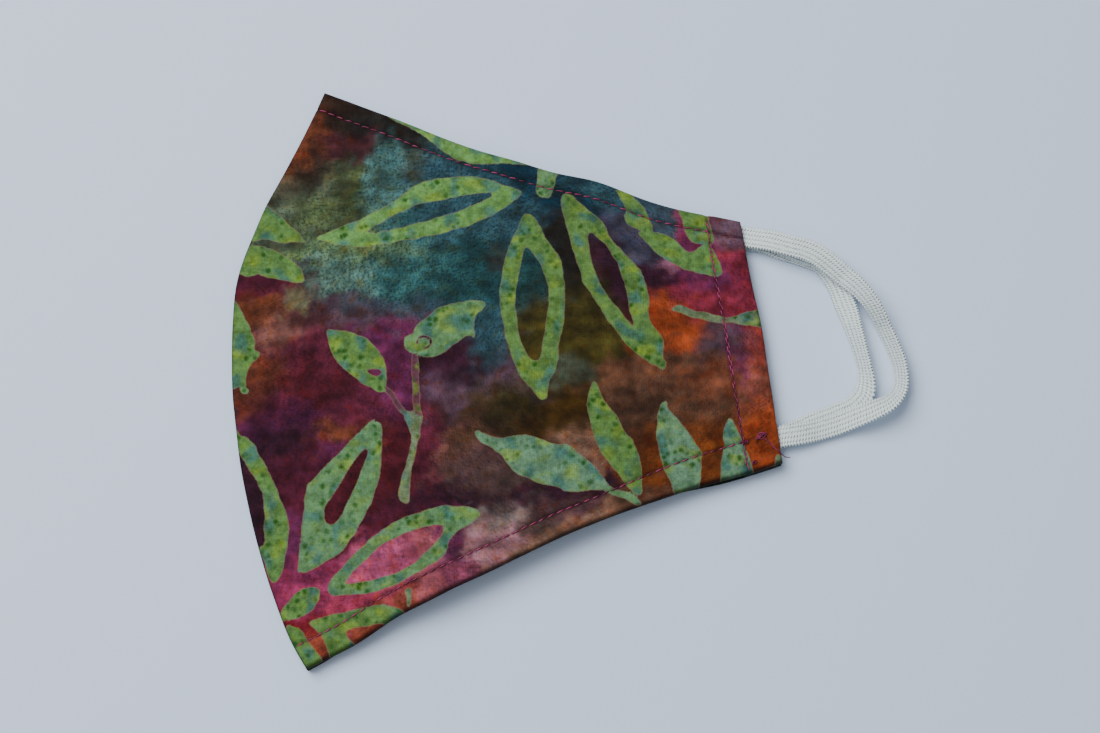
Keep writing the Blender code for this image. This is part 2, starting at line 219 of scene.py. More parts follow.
def sewn_direction(swing):
    """Direction in which a sewn end leaves its hem."""
    turn = np.array(((math.cos(swing), -math.sin(swing)), (math.sin(swing), math.cos(swing))))
    return turn @ BASE_OUT


def in_pocket(plan):
    """Where the hem is hollow for a strap."""
    hollow = np.zeros(plan.shape[:-1], bool)
    for leaves_at, swing, past_edge in (
        (TOP_EXIT, TOP_SWING, TOP_INSET + STRAP_WIDTH / 2),
        (BOTTOM_EXIT, BOTTOM_SWING, 0),
    ):
        out = sewn_direction(swing)
        along = (plan - leaves_at) @ out
        beside = (plan - leaves_at) @ np.array((-out[1], out[0])) - past_edge / 2
        half = (STRAP_WIDTH + past_edge) / 2 + POCKET_SIDE
        hollow |= (along > -STRAP_TUCK - CLEARANCE) & (np.abs(beside) < half)
    return hollow


def border(distance, width):
    """1 inside a border of this width, easing to 0 beyond it."""
    return 1 - eased(distance, width, width + THINNING)


def cloth_thickness(across, up):
    from_seam, from_side, from_chin, from_nose = from_edges(across, up)
    turned = np.maximum(border(from_chin, TURNED_EDGE), border(from_nose, TURNED_EDGE))
    thickness = WALL + np.maximum.reduce((
        (SEAM_THICKNESS - WALL) * border(from_seam, SEAM_ALLOWANCE),
        (TURNED_THICKNESS - WALL) * turned,
        (HEM_THICKNESS - WALL) * border(from_side, HEM_WIDTH),
    ))
    return np.where(in_pocket(panel_point(across, up)), WALL, thickness)


def fold_height(across, up):
    """Height that the soft folds add to the upper half."""
    here, height = panel_point(across, up), 0
    for start, end, width, rise in FOLDS:
        a, b = panel_point(*start), panel_point(*end)
        share = (here - a) @ (b - a) / ((b - a) @ (b - a))
        nearest = a + np.clip(share, 0, 1)[..., None] * (b - a)
        near = smooth_step(1 - np.linalg.norm(here - nearest, axis=-1) / (width * PANEL_REACH))
        height = height + rise * PUFF * near * (1 - smooth_step(share))
    return height


def upper_height(across, up):
    """Top of the folded pile: level at the seam and at the hem, bowed up between them."""
    length = row_length(up)
    share = np.clip((across * length - SEAM_ALLOWANCE) / (length - SEAM_ALLOWANCE - HEM_WIDTH), 0, 1)
    level = SEAM_LEVEL + (HEM_LEVEL - SEAM_LEVEL) * smooth_step(share)
    bow = eased(share, 0, RISE_ENDS) * (1 - eased(share, FALL_STARTS, 1))
    return level + bow * (PUFF * through(*zip(*CREST), up) + fold_height(across, up))


def lumps(place, size, seed):
    """Gentle unevenness from about -1 to 1, in lumps of about this size."""
    chance = np.random.default_rng(seed)
    total = 0
    for _ in range(9):
        turn, phase = chance.uniform(0, 2 * math.pi, 2)
        run = place[..., 0] * math.cos(turn) + place[..., 1] * math.sin(turn)
        total = total + np.sin(run * math.pi / (size * chance.uniform(0.7, 1.5)) + phase)
    return total / 3.6


def cloth_relief(across, up, seed):
    """The sewn cloth's small rises and dips: slack, puckers, and the pull of the stitching."""
    plan = panel_point(across, up)
    from_seam, from_side, from_chin, from_nose = from_edges(across, up)
    slack = SLACK * lumps(plan, 17 * MM, seed) + FINE_SLACK * lumps(plan, 6 * MM, seed + 1)
    relief = slack * eased(np.minimum.reduce((from_seam, from_side, from_chin, from_nose)), 0, 7 * MM)
    for distance, beyond in zip((from_nose, from_chin, from_side), stitched_lines(across, up)):
        away = beyond / MM
        relief = relief - STITCH_PULL * np.exp(-((away / 0.42) ** 2))
        puckers = PUCKER * lumps(plan, 2.6 * MM, seed + 2) * np.exp(-((away / 2.6) ** 2))
        swell = SWELL * np.sin(math.pi * np.clip(distance / (distance - beyond), 0, 1))
        relief = relief + puckers + swell
    return relief


def upper_outside(across, up):
    return upper_height(across, up) + cloth_relief(across, up, 11)


def lower_outside(across, up):
    return np.maximum(-cloth_relief(across, up, 23), 0)


# The batik print. Colours are what the dyes give on the cloth, as 0 to 255 levels.
DYES = {
    # dye: its colour, and its pools' middles and half sizes in millimetres and turns in degrees
    "bark": ((44, 32, 26), (
        (3, 73, 7, 4, 0), (-3, 55, 5, 4, 60), (47, 29, 3, 4, 0), (84, -14, 5, 8, 0),
        (45, -14, 13, 4, 0),
    )),
    "rust": ((85, 46, 31), (
        (-3, 63, 10, 4, 62), (-14, 16, 7, 4, 0), (-13, -2, 5, 7, 0), (-18, -8, 5, 4, 0),
        (7, -17, 7, 3, 0),
    )),
    "soot": ((30, 28, 26), ((12, 68, 11, 4, -20), (66, 27, 6, 9, 0))),
    "wine": ((56, 30, 34), ((6, 61, 6, 4, 0), (-2, 14, 8, 3, 0))),
    "stone": ((60, 66, 54), ((2, 48, 9, 7, 0), (24, 57, 4, 3, 0), (66, -2, 5, 3, 0))),
    "olive": ((46, 54, 18), ((8, 48, 5, 6, 0),)),
    "lichen": ((78, 94, 58), ((0, 44, 5, 4, 0), (16, 31, 11, 3, 0))),
    "mist": ((58, 86, 84), ((17, 58, 5, 3, 0), (15, 48, 5, 6, 0))),
    "slate": ((42, 66, 74), (
        (36, 53, 15, 4, -15), (41, 38, 11, 5, 15), (44, 6, 4, 9, 0), (74, 48, 15, 3, -15),
    )),
    "navy": ((18, 40, 52), ((57, 51, 13, 5, -15),)),
    "seaglass": ((70, 94, 84), ((7, 25, 7, 5, 0),)),
    "teal": ((46, 78, 78), ((23, 27, 13, 7, 0),)),
    "deep_teal": ((30, 56, 58), ((40, 26, 13, 9, 0), (55, 24, 5, 7, 0))),
    "plum": ((64, 24, 38), (
        (-12, 22, 10, 3, 0), (-11, -10, 10, 5, 0), (-4, -27, 9, 7, 0), (19, -40, 11, 3, 15),
    )),
    "sand": ((92, 90, 66), ((-5, 20, 3, 3, 0),)),
    "clay": ((104, 68, 60), ((-9, 11, 5, 4, 0), (34, -21, 2, 6, -20))),
    "violet": ((66, 50, 58), ((10, 14, 10, 4, 0), (106, 7, 7, 4, 0))),
    "slate_violet": ((49, 59, 69), ((17, 16, 10, 3, 0), (89, 42, 7, 4, -15))),
    "magenta_plum": ((80, 32, 60), (
        (16, 6, 7, 6, 0), (23, -2, 3, 9, 0), (97, 33, 3, 3, 0), (101, 24, 8, 3, 0), (109, 2, 2, 9, 8),
        (3, -23, 4, 4, 0), (21, -9, 5, 5, 0), (-4, -47, 2, 7, 5), (37, -46, 2, 6, 20),
    )),
    "crimson_wine": ((72, 28, 42), ((-2, 5, 10, 7, 0), (12, -11, 8, 5, 0), (30, -22, 5, 11, 0))),
    "oxblood": ((62, 22, 30), ((-4, -4, 13, 5, 0), (11, -32, 8, 9, 0), (22, -25, 6, 10, 0))),
    "dark_plum": ((44, 22, 34), (
        (36, 1, 9, 6, 0), (76, 27, 4, 9, 25), (89, 24, 6, 4, 0), (-9, -21, 7, 5, 0),
        (-15, -32, 5, 9, 0), (33, -34, 15, 3, 8), (56, -34, 13, 2, 8),
    )),
    "lilac_grey": ((82, 60, 74), ((47, -4, 5, 4, 0), (34, -8, 4, 5, 0))),
    "umber": ((56, 50, 22), ((57, 13, 4, 7, 0), (68, 11, 8, 9, 0))),
    "magenta": ((112, 40, 68), ((98, 38, 4, 5, 0), (1, -54, 9, 3, 0), (-5, -58, 5, 5, 0))),
    "lilac_plum": ((84, 62, 74), ((107, 38, 5, 4, 0),)),
    "night": ((54, 52, 66), ((83, 34, 9, 4, -20),)),
    "mauve": ((128, 78, 98), ((94, 28, 5, 2, -15),)),
    "crimson": ((104, 36, 50), ((100, 19, 9, 4, 0), (110, 23, 4, 9, 10))),
    "orange": ((116, 52, 28), (
        (90, 17, 4, 3, 0), (93, 10, 7, 5, 0), (115, -13, 4, 9, 8), (116, -20, 4, 8, 8),
    )),
    "dusty_crimson": ((114, 48, 46), ((113, 7, 3, 6, 0),)),
    "cocoa": ((76, 52, 40), (
        (97, 3, 9, 3, 0), (79, -6, 9, 2, 5), (97, -10, 10, 5, 0), (40, -19, 4, 10, -15),
        (80, -36, 6, 3, 20), (81, -11, 5, 4, 0),
    )),
    "dark_olive": ((44, 40, 20), ((69, 18, 7, 9, 0), (50, -10, 9, 6, 0))),
    "stone_brown": ((64, 50, 46), ((44, -29, 9, 5, 0), (58, -42, 6, 3, 20), (51, -7, 9, 2, 0))),
    "rose_brown": ((86, 56, 42), ((87, -1, 12, 3, -5),)),
    "sienna": ((90, 52, 38), ((103, -3, 9, 5, 0),)),
    "orange_brown": ((120, 66, 54), ((113, -4, 4, 7, 0),)),
    "russet": ((84, 44, 20), ((102, -16, 6, 5, 0), (87, -22, 6, 7, 0), (103, -22, 6, 7, 0))),
    "ochre_brown": ((50, 35, 12), ((64, -11, 9, 7, 0), (61, -14, 11, 5, 0))),
    "lilac_brown": ((70, 48, 50), ((41, -26, 8, 5, 0), (62, -38, 9, 3, 15))),
    "purple": ((54, 22, 46), ((-6, -12, 7, 4, 0), (-16, -15, 5, 3, 0))),
    "rose": ((138, 62, 88), ((19, -50, 11, 4, 25),)),
    "salmon": ((122, 64, 68), ((28, -46, 5, 3, 25), (30, -58, 5, 4, 25))),
    "dusty_rose": ((106, 52, 70), ((35, -55, 5, 4, 25),)),
    "hot_pink": ((134, 48, 72), ((11, -60, 11, 3, 8),)),
    "scarlet_wine": ((98, 22, 30), ((0, -65, 7, 3, 0),)),
    "scarlet": ((116, 56, 42), ((3, -71, 3, 6, 30), (13, -68, 5, 3, 0), (23, -61, 5, 4, 25))),
    "pale_rose": ((126, 86, 92), ((46, -46, 7, 4, 20),)),
    "oatmeal": ((100, 86, 82), ((49, -39, 6, 3, 15),)),
    "copper": ((110, 80, 66), ((59, -47, 9, 2, 22), (68, -20, 5, 4, 0), (69, -41, 11, 2, 22))),
}

# What shows where the wax kept the first dye: greens, from olive to sea green
LEAF_DYES = {
    "lime": (88, 126, 70), "moss": (80, 110, 60), "green": (81, 113, 62), "mint": (83, 117, 80),
    "sea": (86, 118, 92), "sage": (92, 106, 80), "dust": (82, 48, 62),
}
# Each leaf's dye, its outline and that of the hole in it, in millimetres
LEAVES = (
    ("lime", (  # nose edge leaf
        (17.2, 69.6), (24.1, 65.5), (34.3, 57.7), (38.0, 56.1), (42.7, 55.4), (47.4, 55.7),
        (55.5, 55.3), (57.5, 57.7), (42.0, 64.9), (28.4, 70.0), (20.2, 72.1),
    ), ()),
    ("mint", (  # stalk
        (58.1, 56.3), (57.0, 51.3), (56.7, 48.4), (57.4, 46.7), (58.9, 45.9), (60.6, 46.4),
        (62.0, 51.6), (62.9, 54.1),
    ), ()),
    ("lime", (  # long outlined leaf
        (-0.2, 35.9), (9.8, 39.9), (18.1, 44.2), (24.7, 49.3), (28.7, 50.9), (38.7, 52.0), (43.4, 51.1),
        (51.8, 48.2), (52.6, 46.9), (50.9, 45.0), (44.2, 40.6), (36.2, 37.3), (24.9, 34.5),
        (12.3, 32.5), (7.6, 32.9), (1.3, 34.7),
    ), (
        (12.9, 36.7), (15.5, 38.9), (23.4, 43.1), (27.4, 44.5), (42.8, 47.4), (44.8, 47.0),
        (43.5, 45.4), (31.5, 40.4), (16.9, 36.6), (14.2, 36.3),
    )),
    ("moss", (  # middle outlined leaf
        (54.5, 41.1), (56.4, 40.2), (59.0, 34.9), (62.4, 30.0), (63.5, 26.3), (64.0, 21.8),
        (63.9, 12.8), (62.5, 5.3), (62.3, 1.2), (60.0, -4.9), (59.6, -8.3), (58.6, -8.9), (57.3, -8.4),
        (52.2, -1.5), (49.0, 8.0), (47.5, 17.3), (47.6, 21.8), (49.1, 30.5), (53.0, 40.1),
    ), (
        (54.4, 32.2), (57.2, 28.7), (59.7, 22.1), (60.1, 18.3), (59.8, 14.2), (57.9, 2.6), (56.3, 1.4),
        (54.6, 2.7), (52.3, 8.7), (51.3, 16.9), (51.6, 21.8), (53.3, 30.3),
    )),
    ("moss", (  # right outlined leaf
        (64.5, 47.2), (66.3, 46.6), (69.1, 43.5), (74.1, 39.4), (76.9, 34.1), (83.5, 26.7),
        (85.6, 20.9), (86.0, 14.0), (86.6, 11.9), (89.4, 7.8), (89.3, 3.2), (90.3, 1.7), (89.8, -0.1),
        (88.4, 0.2), (79.7, 6.7), (69.6, 21.8), (68.6, 24.1), (64.9, 37.0), (63.3, 44.1), (63.4, 46.4),
    ), (
        (70.5, 36.2), (72.9, 35.2), (78.0, 28.1), (81.5, 14.1), (81.7, 11.3), (76.8, 17.0),
        (73.6, 21.8), (71.4, 27.4), (70.3, 33.5),
    )),
    ("mint", (  # upper sprig leaf
        (43.2, 17.1), (39.4, 17.3), (33.2, 15.9), (30.5, 14.5), (25.7, 10.1), (25.2, 8.6), (23.5, 7.6),
        (23.0, 5.8), (23.5, 3.9), (27.6, 2.4), (30.2, 2.3), (32.7, 3.2), (39.1, 8.0), (40.9, 7.3),
        (40.7, 11.1), (41.4, 13.5), (42.8, 15.1),
    ), (
        (26.0, 5.8), (26.7, 7.7), (28.7, 8.1), (30.0, 6.5), (29.3, 4.7), (27.6, 4.2), (27.8, 4.8),
        (28.9, 5.1), (29.4, 6.4), (28.5, 7.5), (27.1, 7.3), (26.6, 5.9),
    )),
    ("green", (  # left sprig leaf
        (3.3, 10.2), (10.9, 8.3), (13.6, 7.0), (17.3, 2.4), (18.7, -3.0), (17.7, -7.1), (13.2, -4.9),
        (7.9, -1.1), (4.1, 3.9), (3.2, 7.3),
    ), (
        (13.4, -1.2), (15.6, -0.8), (17.4, -1.8), (16.6, -3.1), (14.8, -2.6),
    )),
    ("green", (  # left tip
        (-14.7, 44.5), (-12.4, 43.3), (-4.1, 35.3), (-5.4, 34.6), (-8.7, 34.4), (-15.1, 35.4),
        (-17.7, 34.9), (-19.2, 38.5),
    ), ()),
    ("green", (  # left tip
        (-18.7, 33.0), (-16.7, 33.8), (-11.0, 31.9), (-5.5, 27.9), (-4.1, 25.6), (-3.8, 23.7),
        (-5.5, 23.3), (-14.7, 25.5), (-16.6, 26.8), (-16.3, 25.7), (-19.7, 25.4), (-21.5, 28.0),
    ), ()),
    ("green", (  # left edge leaf
        (-23.0, 18.3), (-20.8, 17.3), (-16.3, 8.6), (-16.2, 5.8), (-14.6, 4.2), (-17.4, 0.4),
        (-18.0, -2.2), (-17.6, -3.8), (-19.5, -4.6), (-22.5, -4.2), (-23.5, 6.0),
    ), ()),
    ("mint", (  # bud
        (-19.5, -4.9), (-18.2, -4.4), (-17.1, -5.2), (-17.5, -6.2), (-18.8, -6.4),
    ), ()),
    ("moss", (  # nose edge tip
        (77.9, 48.3), (81.1, 47.6), (85.4, 42.7), (87.2, 37.3), (85.4, 36.9), (81.1, 39.0),
        (79.7, 41.3), (80.3, 43.2),
    ), ()),
    ("green", (  # hem leaf
        (83.8, 36.9), (88.0, 37.0), (92.2, 35.5), (96.7, 31.7), (100.7, 33.8), (102.6, 33.1),
        (105.0, 25.4), (97.5, 26.4), (94.2, 27.6), (89.0, 30.7), (85.1, 34.6),
    ), ()),
    ("moss", (  # hem leaf tip
        (93.8, 44.4), (97.5, 42.8), (101.3, 41.8), (102.2, 39.5), (103.1, 34.2), (98.1, 34.2),
        (95.7, 37.7), (95.1, 40.6),
    ), ()),
    ("sage", (  # thin leaf
        (92.4, 16.4), (94.2, 17.0), (98.3, 15.4), (101.4, 15.1), (105.9, 13.6), (105.8, 12.7),
        (103.9, 12.3), (92.8, 15.3),
    ), ()),
    ("sage", (  # hem tip
        (106.8, 13.4), (109.2, 14.6), (111.8, 15.4), (116.5, 16.2), (116.7, 10.9), (114.4, 11.3),
        (111.7, 11.6), (109.0, 12.0),
    ), ()),
    ("sea", (  # low solid leaf
        (41.7, -17.2), (46.0, -19.1), (52.4, -18.4), (55.8, -18.7), (62.2, -20.7), (65.2, -21.1),
        (69.9, -24.7), (73.8, -29.0), (74.9, -31.3), (73.1, -32.2), (64.7, -32.8), (62.8, -31.8),
        (56.4, -30.3), (51.4, -27.7), (47.6, -23.1), (42.7, -19.9),
    ), ()),
    ("mint", (  # twig
        (74.8, -31.2), (77.0, -32.2), (79.7, -32.6), (82.5, -34.4), (83.3, -35.6), (81.8, -35.8),
        (79.5, -34.7), (74.5, -32.7),
    ), ()),
    ("moss", (  # dark solid leaf
        (71.1, -4.5), (72.3, -4.7), (74.1, -8.8), (76.5, -11.9), (79.8, -17.7), (81.6, -19.7),
        (83.3, -25.7), (83.6, -32.2), (82.5, -33.3), (80.9, -32.3), (72.9, -21.7), (70.1, -12.4),
        (69.8, -9.0),
    ), ()),
    ("sea", (  # teal solid leaf
        (89.3, -8.9), (90.2, -9.0), (90.6, -10.8), (93.8, -14.5), (98.2, -21.1), (98.8, -23.7),
        (97.4, -34.9), (93.1, -34.9), (89.0, -25.0), (87.6, -18.4), (88.2, -10.7),
    ), ()),
    ("sea", (  # last solid leaf
        (106.4, -12.8), (108.4, -16.5), (111.4, -24.4), (112.2, -30.3), (108.0, -31.6), (104.0, -31.0),
        (103.7, -26.4), (104.7, -20.4), (104.6, -17.1),
    ), ()),
    ("sage", (  # corner tip
        (118.0, -22.7), (119.6, -23.1), (121.3, -23.6), (121.0, -29.0), (117.5, -28.4),
    ), ()),
    ("green", (  # seam outlined leaf
        (-21.1, -14.6), (-19.0, -17.4), (-16.9, -18.1), (-15.1, -19.8), (-14.2, -22.3), (-12.2, -25.0),
        (-7.7, -34.5), (-5.7, -41.5), (-6.4, -49.5), (-7.3, -53.3), (-8.6, -55.1), (-10.0, -54.4),
        (-12.6, -47.0), (-11.6, -44.9), (-12.2, -34.5), (-13.2, -31.2), (-20.6, -18.6),
    ), ()),
    ("mint", (  # low outlined leaf
        (15.9, -14.7), (17.3, -15.3), (17.8, -18.1), (17.6, -25.9), (17.0, -29.9), (14.6, -37.1),
        (9.0, -46.5), (6.5, -48.6), (-0.3, -52.3), (-2.2, -52.4), (-2.9, -50.5), (-1.3, -31.2),
        (0.2, -29.1), (14.3, -15.2),
    ), (
        (13.6, -21.6), (14.0, -23.3), (10.6, -32.5), (7.5, -38.6), (5.8, -40.6), (3.8, -40.0),
        (3.3, -37.8), (4.2, -35.2), (12.5, -22.3),
    )),
    ("mint", (  # chin outlined leaf
        (41.2, -37.2), (42.6, -38.4), (42.0, -40.1), (35.9, -44.4), (33.4, -49.5), (23.9, -55.2),
        (16.3, -57.9), (7.4, -58.5), (5.1, -57.8), (4.8, -55.9), (6.6, -53.3), (13.5, -46.4),
        (19.8, -41.7), (23.6, -39.7), (31.4, -37.1), (35.9, -36.7),
    ), (
        (33.3, -41.6), (33.6, -43.0), (32.1, -45.6), (27.0, -50.7), (20.1, -54.0), (10.2, -55.8),
        (9.6, -54.6), (11.7, -52.0), (17.5, -46.9), (21.3, -44.6), (29.4, -42.0),
    )),
    ("green", (  # chin bud
        (-5.9, -61.0), (-2.2, -57.3), (0.4, -56.4), (2.3, -56.9), (2.8, -58.6), (1.8, -61.0),
        (-0.1, -62.9), (-6.2, -65.0), (-7.3, -64.2),
    ), ()),
    ("moss", (  # chin half leaf
        (1.2, -64.7), (16.4, -61.3), (19.9, -61.5), (24.1, -63.2), (21.6, -68.6), (12.9, -73.7),
        (7.3, -76.2), (3.6, -68.8), (2.0, -67.1),
    ), (
        (9.6, -67.7), (10.8, -66.9), (14.0, -66.4), (19.0, -66.0), (17.8, -69.3), (12.8, -71.2),
        (10.4, -69.3),
    )),
    ("green", (  # chin corner
        (-5.4, -66.4), (-3.0, -66.5), (-1.4, -67.6), (-0.4, -69.3), (3.8, -75.3), (1.7, -79.3),
        (-0.8, -79.3), (-4.8, -72.4),
    ), ()),
    ("sage", (  # sprout
        (24.5, -57.6), (25.6, -57.4), (25.9, -59.4), (25.5, -61.6), (24.7, -61.6), (24.6, -59.4),
    ), ()),
    ("sage", (  # thick stem
        (23.3, -12.8), (27.2, -13.0), (27.7, -16.0), (25.2, -29.2), (25.0, -35.2), (23.9, -35.9),
        (22.8, -35.2), (22.3, -32.5), (24.3, -25.3), (25.3, -19.3),
    ), ()),
    ("dust", (  # thin stem
        (17.3, -5.9), (18.3, -5.5), (20.1, -7.0), (22.4, -10.3), (24.3, -12.8), (23.5, -13.3),
        (21.3, -10.8), (19.3, -7.8),
    ), ()),
    ("dust", (  # thin stem
        (25.1, 3.4), (26.6, 3.4), (26.9, -2.2), (27.1, -8.3), (27.6, -13.6), (26.1, -13.6),
        (25.5, -8.3), (25.2, -2.2),
    ), ()),
)
EDGE_REACH = 3.0  # how far from a leaf's edge, in millimetres, its distance is worked out


def linear(levels):
    """Light that a colour given in 0 to 255 levels reflects."""
    return (np.array(levels, float) / 255) ** 2.2


def strayed(spot, sizes, seed):
    """Spots moved about by up to some millimetres, as dye runs in wet cloth."""
    moved = spot.copy()
    for axis in (0, 1):
        for step, (size, reach) in enumerate(sizes):
            moved[:, axis] += reach * lumps(spot, size, seed + 2 * step + axis)
    return moved


def pools_at(spot):
    """Colour of the pools of dye at spots in millimetres from the middle of the seam's chord."""
    nearness, colours = [], []
    for colour, pools in DYES.values():
        for x, y, wide, high, turn in pools:
            c, s = math.cos(math.radians(turn)), math.sin(math.radians(turn))
            off_x, off_y = spot[:, 0] - x, spot[:, 1] - y
            along, beside = off_x * c + off_y * s, off_y * c - off_x * s
            nearness.append((along / wide) ** 2 + (beside / high) ** 2)
            colours.append(linear(colour))
    nearness = np.array(nearness)
    weights = np.exp(-1.7 * (nearness - nearness.min(axis=0)))
    return weights.T @ np.array(colours) / weights.sum(axis=0)[:, None]


def dye_colours(spot):
    """Ground colour: each pool's own dye, some of a neighbour's that ran in, and clouds in both."""
    own = pools_at(strayed(spot, ((8, 1.5), (3.0, 1.0), (1.5, 0.4)), 31))
    run_in = pools_at(strayed(spot, ((5, 5.0), (2.2, 1.6)), 131))
    share = 0.42 * smooth_step(0.9 * lumps(spot, 3.4, 43))
    clouds = np.exp(0.24 * lumps(spot, 6, 41) + 0.22 * lumps(spot, 2.6, 42))
    return (own + share[:, None] * (run_in - own)) * clouds[:, None]


def smooth_outline(points):
    """A closed smooth curve through an outline's points."""
    points = np.array(points, float)
    before, after, last = (np.roll(points, shift, axis=0) for shift in (1, -1, -2))
    curve = []
    for t in np.linspace(0, 1, 6, endpoint=False):
        curve.append(0.5 * (
            2 * points + (after - before) * t
            + (2 * before - 5 * points + 4 * after - last) * t**2
            + (3 * points - before - 3 * after + last) * t**3
        ))
    return np.stack(curve, axis=1).reshape(-1, 2)


def depth_inside(spot, outline):
    """Distance to an outline, above 0 inside it."""
    ends = np.roll(outline, -1, axis=0)
    nearest = np.full(len(spot), np.inf)
    inside = np.zeros(len(spot), bool)
    for a, b in zip(outline, ends):
        run, off = b - a, spot - a
        share = np.clip(off @ run / max(run @ run, 1e-9), 0, 1)
        nearest = np.minimum(nearest, np.hypot(*(off - share[:, None] * run).T))
        crosses = (a[1] > spot[:, 1]) != (b[1] > spot[:, 1])
        rise = run[1] if run[1] else 1e-9
        inside ^= crosses & (spot[:, 0] < a[0] + (spot[:, 1] - a[1]) * run[0] / rise)
    return np.where(inside, nearest, -nearest)


def leaf_print(spot):
    """Depth inside the nearest leaf, in millimetres, and that leaf's dye."""
    rough = spot.copy()
    for axis in (0, 1):
        rough[:, axis] += 0.13 * lumps(spot, 2.6, 51 + axis)
    depth = np.full(len(spot), -EDGE_REACH)
    dye = np.tile(linear(LEAF_DYES["green"]), (len(spot), 1))
    for name, points, hole in LEAVES:
        outline = smooth_outline(points)
        low, high = outline.min(axis=0) - EDGE_REACH, outline.max(axis=0) + EDGE_REACH
        near = np.flatnonzero(((rough > low) & (rough < high)).all(axis=1))
        if not len(near):
            continue
        here = depth_inside(rough[near], outline)
        if hole:
            here = np.minimum(here, -depth_inside(rough[near], smooth_outline(hole)))
        closer = here > depth[near]
        depth[near[closer]] = here[closer]
        dye[near[closer]] = linear(LEAF_DYES[name])
    blue, yellow = eased(lumps(spot, 3.2, 61), 0.15, 0.85), eased(lumps(spot, 3.6, 62), 0.25, 1.05)
    dye += 0.75 * blue[:, None] * (linear((54, 92, 88)) - dye)
    dye += 0.50 * yellow[:, None] * (linear((112, 134, 40)) - dye)
    return depth, dye


def add_node(tree, kind, inputs=(), **settings):
    """A shader node, with its inputs linked where a socket is given and set where a value is."""
    made = tree.nodes.new("ShaderNode" + kind)
    for name, value in settings.items():
        setattr(made, name, value)
    for socket, value in dict(inputs).items():
        if isinstance(value, bpy.types.NodeSocket):
            tree.links.new(value, made.inputs[socket])
        else:
            made.inputs[socket].default_value = value
    return made


def mixed(tree, share, first, second, blend="MIX"):
    """Colour that goes from the first to the second by share."""
    inputs = {0: share, 6: first, 7: second}
    return add_node(tree, "Mix", inputs, data_type="RGBA", blend_type=blend).outputs[2]


def grain(tree, place, size, detail=2.0, roughness=0.5):
    """Even noise of grains about this size."""
    inputs = {"Vector": place, "Scale": 0.6 / size, "Detail": detail, "Roughness": roughness}
    return add_node(tree, "TexNoise", inputs).outputs["Fac"]


def spread(tree, value, low, high, to_low=0.0, to_high=1.0):
    """The value, stretched from low..high to to_low..to_high."""
    inputs = {"Value": value, "From Min": low, "From Max": high, "To Min": to_low, "To Max": to_high}
    return add_node(tree, "MapRange", inputs, interpolation_type="SMOOTHSTEP").outputs["Result"]


def figure(tree, operation, *values):
    return add_node(tree, "Math", dict(enumerate(values)), operation=operation).outputs[0]


def weave(tree, place, thread):
    """Height of a plain weave with threads this wide."""
    period = 0.314  # a wave texture of scale 1 repeats at this distance
    inputs = {"Vector": place, "Scale": period / (2 * thread), "Distortion": 0.6, "Detail": 1.0}
    waves = [add_node(tree, "TexWave", inputs, bands_direction=way).outputs["Fac"] for way in ("X", "Y")]
    return figure(tree, "ADD", *waves)


def new_material(name, roughness, specular, sheen=0.0):
    made = bpy.data.materials.new(name)
    made.use_nodes = True
    shader = made.node_tree.nodes["Principled BSDF"]
    shader.inputs["Roughness"].default_value = roughness
    shader.inputs["Specular IOR Level"].default_value = specular
    shader.inputs["Sheen Weight"].default_value = sheen
    return made, made.node_tree, shader


def coloured(levels):
    """A colour given in 0 to 255 levels, as a colour socket takes it."""
    return (*linear(levels), 1)


def attribute(tree, name, output):
    return add_node(tree, "Attribute", attribute_name=name).outputs[output]


def tinted(tree, share, colour, tint):
    """The colour, multiplied by the tint by share."""
    return mixed(tree, share, colour, (*tint, 1), "MULTIPLY")


def shaded(tree, colour, noise, low, high):
    """The colour, multiplied by low to high as the noise goes."""
    value = spread(tree, noise, 0.30, 0.70, low, high)
    grey = add_node(tree, "CombineColor", {"Red": value, "Green": value, "Blue": value}).outputs[0]
    return mixed(tree, 1.0, colour, grey, "MULTIPLY")


def bumped(tree, shader, height, depth, strength):
    bump = add_node(tree, "Bump", {"Height": height, "Distance": depth, "Strength": strength})
    tree.links.new(bump.outputs["Normal"], shader.inputs["Normal"])


